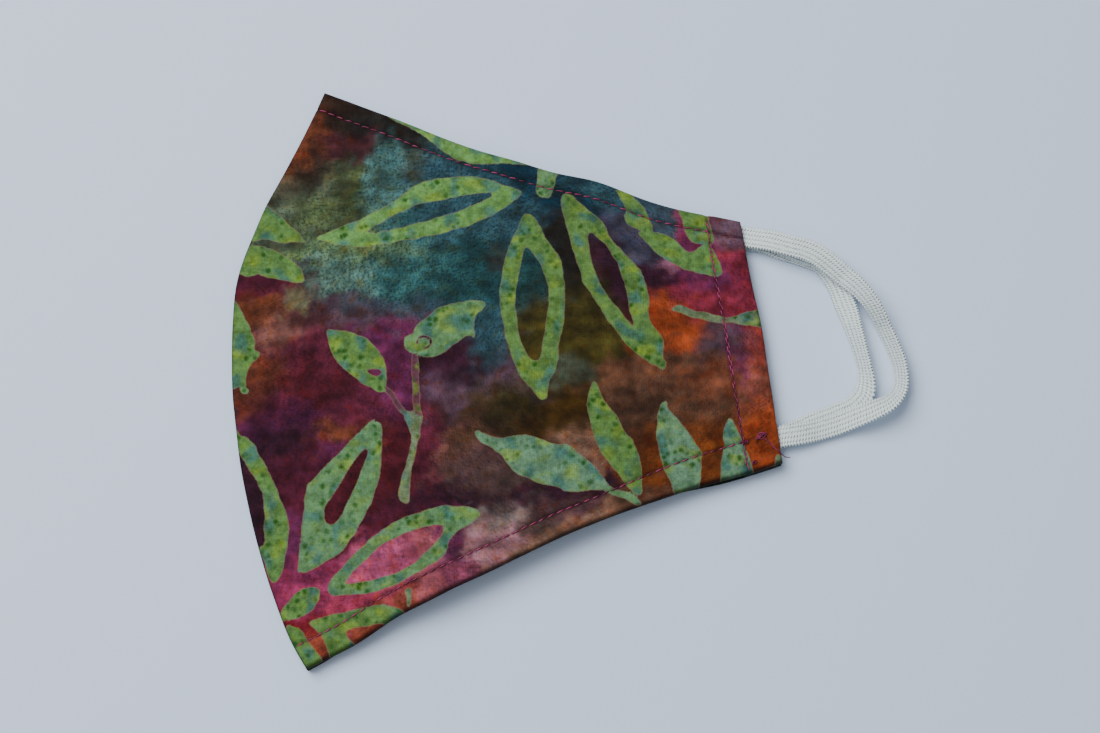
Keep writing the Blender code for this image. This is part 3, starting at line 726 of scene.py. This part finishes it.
def printed_cotton():
    finish, tree, shader = new_material("printed_cotton", 0.9, 0.15, 0.03)
    place = add_node(tree, "TexCoord").outputs["Object"]
    ground, leaf = attribute(tree, "dye", "Color"), attribute(tree, "leaf_dye", "Color")
    veins = grain(tree, place, 1.7 * MM, 5, 0.68)
    grains = grain(tree, place, 0.42 * MM, 3, 0.7)
    coarse = grain(tree, place, 4.5 * MM, 2)
    tints = grain(tree, place, 1.1 * MM, 4, 0.7)
    stains = grain(tree, place, 2.6 * MM, 3, 0.6)

    # The ground: dye that ran in veins, tinted warmer or cooler, and settled in grains
    ground = tinted(tree, spread(tree, tints, 0.50, 0.72, 0.0, 0.9), ground, (1.10, 0.94, 0.55))
    ground = tinted(tree, spread(tree, tints, 0.50, 0.28, 0.0, 0.9), ground, (0.80, 1.10, 1.20))
    ground = tinted(tree, spread(tree, stains, 0.55, 0.66, 0.0, 0.7), ground, (1.05, 0.72, 0.50))
    ground = shaded(tree, ground, veins, 0.64, 1.44)
    parts = add_node(tree, "SeparateColor", {"Color": ground})
    blueness = figure(tree, "SUBTRACT", parts.outputs["Green"], parts.outputs["Red"])
    patches, blues = spread(tree, coarse, 0.35, 0.62, 0.15, 0.75), spread(tree, blueness, 0.0, 0.04)
    speckled = figure(tree, "ADD", patches, blues)
    dark_grains = figure(tree, "MULTIPLY", spread(tree, grains, 0.50, 0.66), speckled)
    pale_grains = figure(tree, "MULTIPLY", spread(tree, grains, 0.46, 0.30), speckled)
    ground = tinted(tree, dark_grains, ground, (0.44, 0.47, 0.50))
    ground = tinted(tree, pale_grains, ground, (1.36, 1.33, 1.30))

    # The leaves: greens that run into yellow and blue, with dark spots where the wax let dye through
    leaf = shaded(tree, leaf, grain(tree, place, 1.6 * MM, 4, 0.62), 0.68, 1.32)
    leaf = tinted(tree, spread(tree, tints, 0.50, 0.66, 0.0, 0.85), leaf, (1.12, 1.02, 0.50))
    leaf = shaded(tree, leaf, grains, 1.16, 0.84)
    uneven = add_node(tree, "TexNoise", {"Vector": place, "Scale": 0.6 / (0.9 * MM), "Detail": 2.0})
    pushed = add_node(tree, "VectorMath", {0: uneven.outputs["Color"]}, operation="SCALE")
    pushed.inputs["Scale"].default_value = 1.3 * MM
    about = add_node(tree, "VectorMath", {0: place, 1: pushed.outputs[0]}, operation="ADD").outputs[0]
    drops = add_node(tree, "TexVoronoi", {"Vector": about, "Scale": 1 / (2.3 * MM)}).outputs["Distance"]
    drops = spread(tree, drops, 0.08, 0.50, 0.95, 0.0)
    patches = spread(tree, coarse, 0.38, 0.56, 0.15, 1.0)
    leaf = mixed(tree, figure(tree, "MULTIPLY", drops, patches), leaf, coloured((32, 70, 20)))

    # The leaf's edge wanders a little along the veins, and is pale where the wax cracked
    wander = spread(tree, veins, 0.3, 0.7, -0.14, 0.14)
    ragged = figure(tree, "ADD", attribute(tree, "leaf_depth", "Fac"), wander)
    printed = mixed(tree, spread(tree, ragged, -0.20, 0.20), ground, leaf)
    edge = spread(tree, figure(tree, "ABSOLUTE", ragged), 0.0, 0.26, 0.34, 0.0)
    printed = mixed(tree, edge, printed, coloured((122, 106, 88)))
    tree.links.new(printed, shader.inputs["Base Color"])
    bumped(tree, shader, weave(tree, place, 0.22 * MM), 0.03 * MM, 0.7)
    return finish


def cotton_backing():
    finish, tree, shader = new_material("cotton_backing", 0.9, 0.2)
    place = add_node(tree, "TexCoord").outputs["Object"]
    faded = spread(tree, grain(tree, place, 4 * MM, 3, 0.6), 0.3, 0.7)
    colour = mixed(tree, faded, coloured((40, 26, 34)), coloured((58, 38, 46)))
    tree.links.new(colour, shader.inputs["Base Color"])
    bumped(tree, shader, weave(tree, place, 0.25 * MM), 0.04 * MM, 0.7)
    return finish


# Grid lines of a half lie close together at its rims and at its stitching
RIM_RINGS = np.array((0, 0.08, 0.22, 0.45, 0.8, 1.3)) * MM
GROOVE_RINGS = np.array((-0.5, -0.25, 0, 0.25, 0.5)) * MM
UPPER_GRID, LOWER_GRID = (184, 204), (120, 140)  # columns and rows of each half, but for its rims


def first_rings(stitched):
    """Distances from an edge of the first grid lines, to beyond its stitching if it has any."""
    if not stitched:
        return RIM_RINGS
    between = np.linspace(RIM_RINGS[-1], stitched + GROOVE_RINGS[0], 6)[1:-1]
    return np.concatenate((RIM_RINGS, between, stitched + GROOVE_RINGS))


def grid_shares(lengths, first_line, last_line, count):
    """Shares of each length where grid lines lie."""
    first, last = first_rings(first_line), first_rings(last_line)
    inner = np.linspace(0, 1, count)[1:-1]
    rows = []
    for length in lengths:
        middle = first[-1] + (length - first[-1] - last[-1]) * inner
        rows.append(np.concatenate((first, middle, length - last[::-1])) / length)
    return np.array(rows)


def mesh_object(name, points, faces, *finishes):
    """A smooth mesh piece from its points and faces."""
    mesh = bpy.data.meshes.new(name)
    mesh.from_pydata(np.asarray(points).tolist(), [], faces)
    mesh.shade_smooth()
    for finish in finishes:
        mesh.materials.append(finish)
    obj = bpy.data.objects.new(name, mesh)
    bpy.context.scene.collection.objects.link(obj)
    return obj


def tube_faces(sections, around):
    """Faces of a tube of this many rings, closed at its ends."""
    index = np.arange(sections * around).reshape(sections, around)
    following = np.roll(index, -1, axis=1)
    sides = np.stack((index[:-1], index[1:], following[1:], following[:-1]), axis=-1).reshape(-1, 4)
    return sides.tolist() + [index[0].tolist(), index[-1, ::-1].tolist()]


def unit(vectors):
    return vectors / np.linalg.norm(vectors, axis=1)[:, None]


def surface_of(mesh):
    """A mesh's surface, to cast rays on."""
    return BVHTree.FromPolygons([v.co for v in mesh.vertices], [tuple(f.vertices) for f in mesh.polygons])


def keep_values(piece, name, kind, field, values):
    """Stores a value at each point of a mesh, where its material finds it by name."""
    kept = piece.data.attributes.new(name, kind, "POINT")
    kept.data.foreach_set(field, np.asarray(values, np.float32).ravel())


def cloth_half(name, solid, outside, inward, grid, print_at, tuck):
    """One half: its outer face, and its inner face one thickness inward, joined round the rim."""
    halfway = np.array((0.5,))
    even_across = grid_shares(row_length(halfway), 0, HEM_LINE, grid[0])[0]
    even_up = grid_shares(column_length(halfway), CHIN_LINE, NOSE_LINE, grid[1])[0]
    across = grid_shares(row_length(even_up), 0, HEM_LINE, grid[0])
    up = grid_shares(column_length(even_across), CHIN_LINE, NOSE_LINE, grid[1]).T
    plan = panel_point(across, up)
    from_seam, from_side, from_chin, from_nose = from_edges(across, up)
    edge = np.minimum.reduce((from_seam, from_side, from_chin, from_nose))
    plan = plan + 0.10 * MM * np.stack([lumps(plan, 9 * MM, seed) for seed in (71, 72)], axis=-1)
    drawn_in = smooth_step((across - 0.02) / 0.10) * (1 - smooth_step((across - 0.72) / 0.16))
    plan[..., 1] += tuck * drawn_in * (1 - smooth_step(from_chin / CHIN_LINE))

    outer = outside(across, up)
    inner = outer + inward * cloth_thickness(across, up)
    round_off = 1 - np.sqrt(1 - (1 - np.clip(edge / RIM_ROUND, 0, 1)) ** 2)
    middle = (outer + inner) / 2
    outer, inner = outer + (middle - outer) * round_off, inner + (middle - inner) * round_off

    rows, columns = across.shape
    outer_index = np.arange(rows * columns).reshape(rows, columns)
    inner_index = outer_index.copy()
    within = np.arange((rows - 2) * (columns - 2)).reshape(rows - 2, columns - 2)
    inner_index[1:-1, 1:-1] = rows * columns + within
    points = np.concatenate((
        np.dstack((plan, outer)).reshape(-1, 3),
        np.dstack((plan, inner))[1:-1, 1:-1].reshape(-1, 3),
    ))

    def quads(index, flip):
        corners = (index[:-1, :-1], index[:-1, 1:], index[1:, 1:], index[1:, :-1])
        made = np.stack(corners, axis=-1).reshape(-1, 4)
        return made[:, ::-1] if flip else made

    faces = np.concatenate((quads(outer_index, inward > 0), quads(inner_index, inward < 0))).tolist()
    piece = mesh_object(name, points, faces, cotton, backing)
    turned_in = len(RIM_RINGS) - 1  # rings of the inner face that still show the print
    plain = np.zeros((rows - 1, columns - 1), int)
    plain[turned_in:-turned_in, turned_in:-turned_in] = 1
    piece.data.polygons.foreach_set("material_index", np.append(np.zeros(plain.size, int), plain))

    # Painted shade: the cloth is painted darker along its stitching, at the seam and at the chin edge's
    # rim, where shade falls in the stitching's grooves and at the rims
    # painted shade in the stitching's grooves, then at the chin rim, then at the seam's edge
    wear_and_painted_shade = 1 - 0.40 * sum(np.exp(-((away / (0.5 * MM)) ** 2)) for away in stitched_lines(across, up))
    wear_and_painted_shade *= 0.25 + 0.75 * smooth_step((from_chin - 0.5 * MM) / (0.7 * MM))
    wear_and_painted_shade *= 0.30 + 0.70 * smooth_step((from_seam - 0.1 * MM) / (0.5 * MM))
    wear_and_painted_shade = np.concatenate((wear_and_painted_shade.ravel(), wear_and_painted_shade[1:-1, 1:-1].ravel()))[:, None]
    ground, depth, leaf = print_at((points[:, :2] - (chord_x, 0)) / MM)
    for layer, values in (("dye", ground), ("leaf_dye", leaf)):
        colours = np.column_stack((values * wear_and_painted_shade, np.ones(len(values))))
        keep_values(piece, layer, "FLOAT_COLOR", "color", colours)
    keep_values(piece, "leaf_depth", "FLOAT", "value", depth)

    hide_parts(solid)
    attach(piece, "root")
    return piece


cotton, backing = printed_cotton(), cotton_backing()


def upper_print(spot):
    depth, leaf = leaf_print(spot)
    return dye_colours(spot), depth, leaf


PRINT_TURNED_ABOUT = np.array((58, 2))  # millimetres from the middle of the seam's chord


def lower_print_in_painted_shade(spot):
    """The lower half's print lies turned round. Its dyes are painted darker and its leaves dimmed and
    kept away from its chin edge, as painted shade where it lies under the upper half.
    """
    elsewhere = 2 * PRINT_TURNED_ABOUT - spot
    depth, leaf = leaf_print(elsewhere)
    chin = (chin_edge(np.linspace(0, 1, 60)) - (chord_x, 0)) / MM
    from_chin = np.min([np.hypot(*(spot - place).T) for place in chin], axis=0)
    # Painted shade: the dyes halved, the leaves dimmed to 0.6 and pushed out near the chin edge
    return dye_colours(elsewhere) * 0.5, depth - 1.6 * (1 - smooth_step((from_chin - 6) / 4)), leaf * 0.6


upper_half = cloth_half("upper_half", "upper_panel", upper_outside, -1, UPPER_GRID, upper_print, 0)
lower_half = cloth_half("lower_half", "lower_panel", lower_outside, 1, LOWER_GRID, lower_print_in_painted_shade, CHIN_TUCK)


# The ear loops: one flat braided elastic for each half, its two ends sewn into the hem. The upper
# half's loop is the outer one and lies on the other. They stand on their inner edge where they bend.

OUTER_REACH, INNER_REACH = 34.5 * MM, 25.4 * MM
OUTER_ROUTE = (
    # shares out and down from the top end, lean in degrees
    (0.16, 0.042, 4), (0.32, 0.092, 8), (0.47, 0.138, 12), (0.635, 0.233, 30), (0.725, 0.300, 40),
    (0.83, 0.400, 52), (0.92, 0.520, 60), (0.98, 0.650, 62), (1.00, 0.760, 62), (0.97, 0.848, 56),
    (0.86, 0.914, 36), (0.73, 0.940, 16), (0.54, 0.964, 3), (0.335, 0.985, -5), (0.16, 0.997, -4),
)
INNER_ROUTE = (
    # shares out and down from the top end, lean in degrees
    (0.22, 0.040, 18), (0.40, 0.098, 46), (0.59, 0.151, 61), (0.75, 0.196, 57), (0.87, 0.280, 30),
    (0.93, 0.400, 24), (0.965, 0.530, 48), (0.99, 0.640, 58), (1.00, 0.730, 59), (0.985, 0.800, 40),
    (0.94, 0.850, 15), (0.85, 0.886, 8), (0.64, 0.917, 4), (0.38, 0.945, 3), (0.20, 0.972, 2),
)
BRAID_PITCH = 0.77 * MM  # from one crossing of the yarns to the next
BRAID_COLUMNS = 5
BRAID_RELIEF = 0.20 * MM
EDGE_LOOPS = 0.50 * MM  # how far the yarns stand out of the braid's edges
BRAID_STEP = BRAID_PITCH / 6
ACROSS_BRAID = 36


def loop_places(route, reach, node):
    """The strap's middle line and lean, resting where its solid does."""
    sewn = (STRAP_TUCK, STRAP_TUCK / 2, 0)
    points = [np.append(TOP_EXIT - sewn_direction(TOP_SWING) * back, 0) for back in sewn]
    for out, down, lean in route:
        points.append(np.append(TOP_EXIT + BASE_DOWN * down + BASE_OUT * out * reach, math.radians(lean)))
    points += [np.append(BOTTOM_EXIT - sewn_direction(BOTTOM_SWING) * back, 0) for back in sewn[::-1]]
    points = np.array(points)
    knots = lengths_to(points[:, :2])
    along = np.arange(0.1 * MM, knots[-1] - 0.1 * MM, BRAID_STEP)
    line = through(knots, points, along)

    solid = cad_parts[node].data
    tree = surface_of(solid)
    middles = []
    for x, y, _ in line:
        top, foot = (tree.ray_cast(Vector((x, y, z)), Vector((0, 0, -z)))[0] for z in (1, -1))
        middles.append((top.z + foot.z) / 2 if top and foot else np.nan)
    known = ~np.isnan(middles)
    middles = np.interp(along, along[known], np.array(middles)[known])
    window = 13  # places along the loop over which its height is evened out
    padded = np.pad(middles, window // 2, mode="edge")
    heights = np.convolve(padded, np.ones(window) / window, mode="valid")
    return along, np.column_stack((line[:, :2], heights)), line[:, 2]


def braid(across, along):
    """How far the yarns stand out, from 0 to 1: rows of arrowheads, with holes between the rows."""
    column = (across + 1) / 2 * BRAID_COLUMNS
    by_groove = np.abs(2 * (column - np.floor(column)) - 1)  # 1 at a groove, 0 amid a row
    stagger = 0.5 * (np.floor(column) % 2)
    yarns = np.abs(np.sin(math.pi * (along / BRAID_PITCH + stagger - 0.45 * by_groove))) ** 0.8
    holes = by_groove**2 * np.cos(math.pi * (along / BRAID_PITCH + 0.5 * np.round(column))) ** 2
    return np.clip(0.25 + 0.75 * yarns - 0.15 * by_groove**2 - 0.6 * holes, 0, 1)


def braided_loop(name, solid, route, reach, finish):
    along, middle, lean = loop_places(route, reach, solid)
    ahead = unit(np.gradient(middle, axis=0))
    level = unit(np.column_stack((-ahead[:, 1], ahead[:, 0], np.zeros(len(ahead)))))
    widthways = level * np.cos(lean)[:, None] + np.outer(np.sin(lean), (0, 0, 1))
    upwards = np.cross(ahead, widthways)

    share = np.linspace(-1, 1, ACROSS_BRAID)
    ring = np.concatenate((share, share[-2:0:-1]))
    face = np.concatenate((np.ones(ACROSS_BRAID), -np.ones(ACROSS_BRAID - 2)))
    round_edge = (1 - np.abs(ring) ** 6) ** 0.5
    run = along[:, None] + np.where(face > 0, 0, BRAID_PITCH / 2)
    yarns = braid(ring * 0.999, run)
    edge_yarns = np.sin(math.pi * along[:, None] / BRAID_PITCH) ** 2
    sideways = ring * (STRAP_WIDTH / 2 - EDGE_LOOPS * np.abs(ring) ** 5 * (1 - edge_yarns))
    height = face * round_edge * (STRAP_THICKNESS / 2 - BRAID_RELIEF * (1 - yarns))
    points = middle[:, None] + widthways[:, None] * sideways[..., None]
    points = points + upwards[:, None] * height[..., None]

    piece = mesh_object(name, points.reshape(-1, 3), tube_faces(len(along), len(ring)), finish)
    # Painted shade: this value darkens the elastic's colour in the grooves between its yarns and between
    # its edge loops
    keep_values(piece, "painted_yarn_shade", "FLOAT", "value", np.where(np.abs(ring) > 0.93, 0.8 * edge_yarns, yarns))
    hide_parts(solid)
    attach(piece, "root")
    return piece


def white_elastic():
    finish, tree, shader = new_material("white_elastic", 0.6, 0.35, 0.08)
    place = add_node(tree, "TexCoord").outputs["Object"]
    strands = spread(tree, grain(tree, place, 0.3 * MM, 3, 0.7), 0.3, 0.7, -0.16, 0.16)
    # Painted shade: the elastic is painted dark in the braid's grooves and pale on its yarns' tops
    painted_groove_shade = spread(tree, figure(tree, "ADD", attribute(tree, "painted_yarn_shade", "Fac"), strands), 0.0, 0.7)
    colour = mixed(tree, painted_groove_shade, coloured((96, 104, 105)), coloured((218, 230, 229)))
    tree.links.new(colour, shader.inputs["Base Color"])
    bumped(tree, shader, grain(tree, place, 0.12 * MM, 2), 0.05 * MM, 0.6)
    return finish


elastic = white_elastic()
outer_loop = braided_loop("outer_loop", "upper_ear_loop", OUTER_ROUTE, OUTER_REACH, elastic)
inner_loop = braided_loop("inner_loop", "lower_ear_loop", INNER_ROUTE, INNER_REACH, elastic)


# The stitching: plum sewing thread. One seam joins the halves, and each half is topstitched along
# its nose and chin edges and its hem. Where the chin line ends, at the upper half's hem, the thread
# was knotted and its last end left loose.

THREAD, LOOSE_THREAD = 0.36 * MM, 0.24 * MM
STITCH_LENGTH, STITCH_RISE, STITCH_SUNK = 2.15 * MM, 0.38 * MM, 0.16 * MM
STITCH_POINTS, STITCH_SIDES = 7, 6
SEAM_LINE, SEAM_THREAD = 0.5 * MM, 0.62 * MM  # inside the seam's edge, between the halves
TOPSTITCHED = (
    # edge, first and last share of it, distance beside the line, first stitch: the hem is sewn twice
    ("nose", 0.005, 0.994, 0.0, 0.1 * MM), ("chin", 0.005, 0.945, 0.0, 0.1 * MM),
    ("hem", 0.006, 0.994, -0.20 * MM, 0.4 * MM), ("hem", 0.006, 0.994, 0.20 * MM, 1.7 * MM),
)
steady = np.random.default_rng(5)


def stitch_line(inset_from, start, stop):
    """Shares across and up along a line of stitching, from the start share to the stop share."""
    way = np.linspace(start, stop, 400)
    if inset_from == "nose":
        across, up = way, 1 - NOSE_LINE / column_length(way)
    elif inset_from == "chin":
        across, up = way, -stitched_lines(way, np.zeros(len(way)))[1] / column_length(way)
    elif inset_from == "seam":
        across, up = SEAM_LINE / row_length(way), way
    else:
        across, up = 1 - HEM_LINE / row_length(way), way
    return lengths_to(panel_point(across, up)), across, up


def thread_tube(points, width):
    """Points and faces of a thread that follows these points, closed at its ends."""
    points = np.array(points)
    ahead = unit(np.gradient(points, axis=0))
    beside = unit(np.cross(ahead, (0, 0, 1.0)))
    over = np.cross(beside, ahead)
    taper = np.full(len(points), width / 2)
    taper[[0, -1]] *= 0.4
    turn = np.linspace(0, 2 * math.pi, STITCH_SIDES, endpoint=False)[:, None]
    rings = beside[:, None] * np.cos(turn) + over[:, None] * np.sin(turn)
    rings = points[:, None] + taper[:, None, None] * rings
    return rings.reshape(-1, 3), tube_faces(len(points), STITCH_SIDES)


def rows_of_stitches(rows, width, outside, outward):
    """Every stitch of these rows, each a short thread that dips into the cloth at both ends."""
    threads = []
    arch = np.sin(np.linspace(0, math.pi, STITCH_POINTS)) ** 0.6
    for inset_from, start, stop, beside, at in rows:
        along, across, up = stitch_line(inset_from, start, stop)
        while at + STITCH_LENGTH < along[-1]:
            length = STITCH_LENGTH * steady.uniform(0.9, 1.08)
            places = np.linspace(at, at + length, STITCH_POINTS)
            a, u = np.interp(places, along, across), np.interp(places, along, up)
            plan = panel_point(a, u)
            run = plan[-1] - plan[0]
            side = np.array((-run[1], run[0])) / np.hypot(*run)
            slant = steady.uniform(0.05, 0.16) * MM
            plan = plan + (beside + np.linspace(-slant, slant, STITCH_POINTS))[:, None] * side
            height = outside(a, u) + outward * (arch * STITCH_RISE - STITCH_SUNK)
            threads.append((np.column_stack((plan, np.maximum(height, width / 2))), width))
            at += STITCH_PITCH * steady.uniform(0.97, 1.03)
    return threads


def stitching(name, threads, finish):
    points, faces, count = [], [], 0
    for one, width in threads:
        ring_points, ring_faces = thread_tube(one, width)
        points.append(ring_points)
        faces += [[corner + count for corner in face] for face in ring_faces]
        count += len(ring_points)
    piece = mesh_object(name, np.concatenate(points), faces, finish)
    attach(piece, "root")
    return piece


# The knotted end: places in millimetres from the middle of the seam's chord
TANGLE = (114.2, -17.8)
TANGLE_TURNS = 4
TRAIL = (
    # over the hem to its edge, with the height above the cloth
    (115.0, -18.4, 0.30), (116.0, -19.1, 0.25), (116.9, -20.1, 0.20), (117.9, -21.1, 0.20),
    (118.5, -21.7, 0.20),
)
LOOSE_END = ((119.6, -22.6, 5.1), (120.5, -23.1, 4.7), (121.7, -23.1, 4.3))  # beyond it, with the height
KNOTS = ((110.3, -19.3), (112.3, -24.6))  # where lines of stitching cross


def cloth_top(x, y):
    """Height of the upper half at a place in millimetres from the middle of the seam's chord."""
    start = Vector((chord_x + x * MM, y * MM, 1))
    return upper_tree.ray_cast(start, Vector((0, 0, -1)))[0].z


def curl(middle, wide, high, turns):
    """A thread wound loosely on the cloth."""
    turn = np.linspace(0, 2 * math.pi * turns, 14 * turns)
    reach = 0.55 + 0.45 * np.sin(1.37 * turn + 0.8)
    x = middle[0] + wide * reach * np.cos(turn)
    y = middle[1] + high * reach * np.sin(1.12 * turn)
    lift = 0.15 + 0.45 * np.sin(0.83 * turn) ** 2
    heights = [cloth_top(*spot) + rise * MM for *spot, rise in zip(x, y, lift)]
    return np.column_stack((chord_x + x * MM, y * MM, heights))


def knotted_end():
    trail = [(x, y, cloth_top(x, y) / MM + over) for x, y, over in TRAIL]
    hanging = np.array(trail + list(LOOSE_END))
    way = np.linspace(0, len(hanging) - 1, 40)
    smooth = through(np.arange(len(hanging)), hanging, way)
    last = smooth * MM + (chord_x, 0, 0)
    wound = [curl(TANGLE, 1.5, 1.0, TANGLE_TURNS), last] + [curl(spot, 0.7, 0.5, 2) for spot in KNOTS]
    return [(points, LOOSE_THREAD) for points in wound]


def sewing_thread():
    finish, tree, shader = new_material("sewing_thread", 0.5, 0.4)
    place = add_node(tree, "TexCoord").outputs["Object"]
    # The thread's colour varies at random between dark and pale plum, as wear.
    wear_and_painted_shade = spread(tree, grain(tree, place, 1.2 * MM, 2), 0.35, 0.65)
    colour = mixed(tree, wear_and_painted_shade, coloured((76, 16, 46)), coloured((140, 46, 88)))
    tree.links.new(colour, shader.inputs["Base Color"])
    return finish


thread = sewing_thread()
upper_mesh = upper_half.data
upper_tree = surface_of(upper_mesh)
upper_rows = rows_of_stitches(TOPSTITCHED, THREAD, upper_outside, 1)
upper_stitching = stitching("upper_stitching", upper_rows + knotted_end(), thread)
lower_rows = rows_of_stitches(TOPSTITCHED, THREAD, lower_outside, -1)
lower_stitching = stitching("lower_stitching", lower_rows, thread)


def between_halves(across, up):
    return np.full(len(up), SEAM_THICKNESS + CLEARANCE / 2)


seam_rows = rows_of_stitches((("seam", 0.008, 0.992, 0.0, 0.0),), SEAM_THREAD, between_halves, 0)
seam_stitching = stitching("seam_stitching", seam_rows, thread)


# The table: a pale, cool, matt sheet. Soft daylight falls from beyond the nose edge, and the camera
# looks down from the chin's side.

HALF_TABLE = 1.5
table_mesh = bpy.data.meshes.new("table")
corners = [(x * HALF_TABLE, y * HALF_TABLE, 0) for x, y in ((-1, -1), (1, -1), (1, 1), (-1, 1))]
table_mesh.from_pydata(corners, [], [(0, 1, 2, 3)])
table = bpy.data.objects.new("table", table_mesh)
bpy.context.scene.collection.objects.link(table)
table.location.z = -0.05 * MM
table_finish, _, table_shader = new_material("table", 0.7, 0.2)
table_shader.inputs["Base Color"].default_value = coloured((206, 221, 242))
table_mesh.materials.append(table_finish)


def soft_light(name, place, size, power, colour):
    """A square light that looks at the middle of the mask."""
    light = bpy.data.lights.new(name, "AREA")
    light.size, light.energy, light.color = size, power, colour
    lamp = bpy.data.objects.new(name, light)
    lamp.location = place
    lamp.rotation_euler = (-Vector(place)).to_track_quat("-Z", "Y").to_euler()
    bpy.context.scene.collection.objects.link(lamp)


soft_light("window", (-0.50, 0.36, 1.00), 0.85, 19.0, (0.97, 0.98, 1.0))
soft_light("room", (-0.10, -0.40, 1.2), 1.4, 5.2, (0.95, 0.97, 1.0))
world = bpy.data.worlds.new("room_light")
world.use_nodes = True
background = world.node_tree.nodes["Background"].inputs
background["Color"].default_value = (0.78, 0.82, 0.90, 1)
background["Strength"].default_value = 0.185
bpy.context.scene.world = world

camera_data = bpy.data.cameras.new("camera")
camera_data.sensor_width = 36
camera_data.lens = 67.18
camera = bpy.data.objects.new("camera", camera_data)
target = Vector((chord_x + 60.35 * MM, 2.05 * MM, 0))
height_angle, distance = math.radians(75), 534 * MM
camera.location = target + Vector((0, -math.cos(height_angle), math.sin(height_angle))) * distance
camera.rotation_euler = (target - camera.location).to_track_quat("-Z", "Y").to_euler()
bpy.context.scene.collection.objects.link(camera)
bpy.context.scene.camera = camera
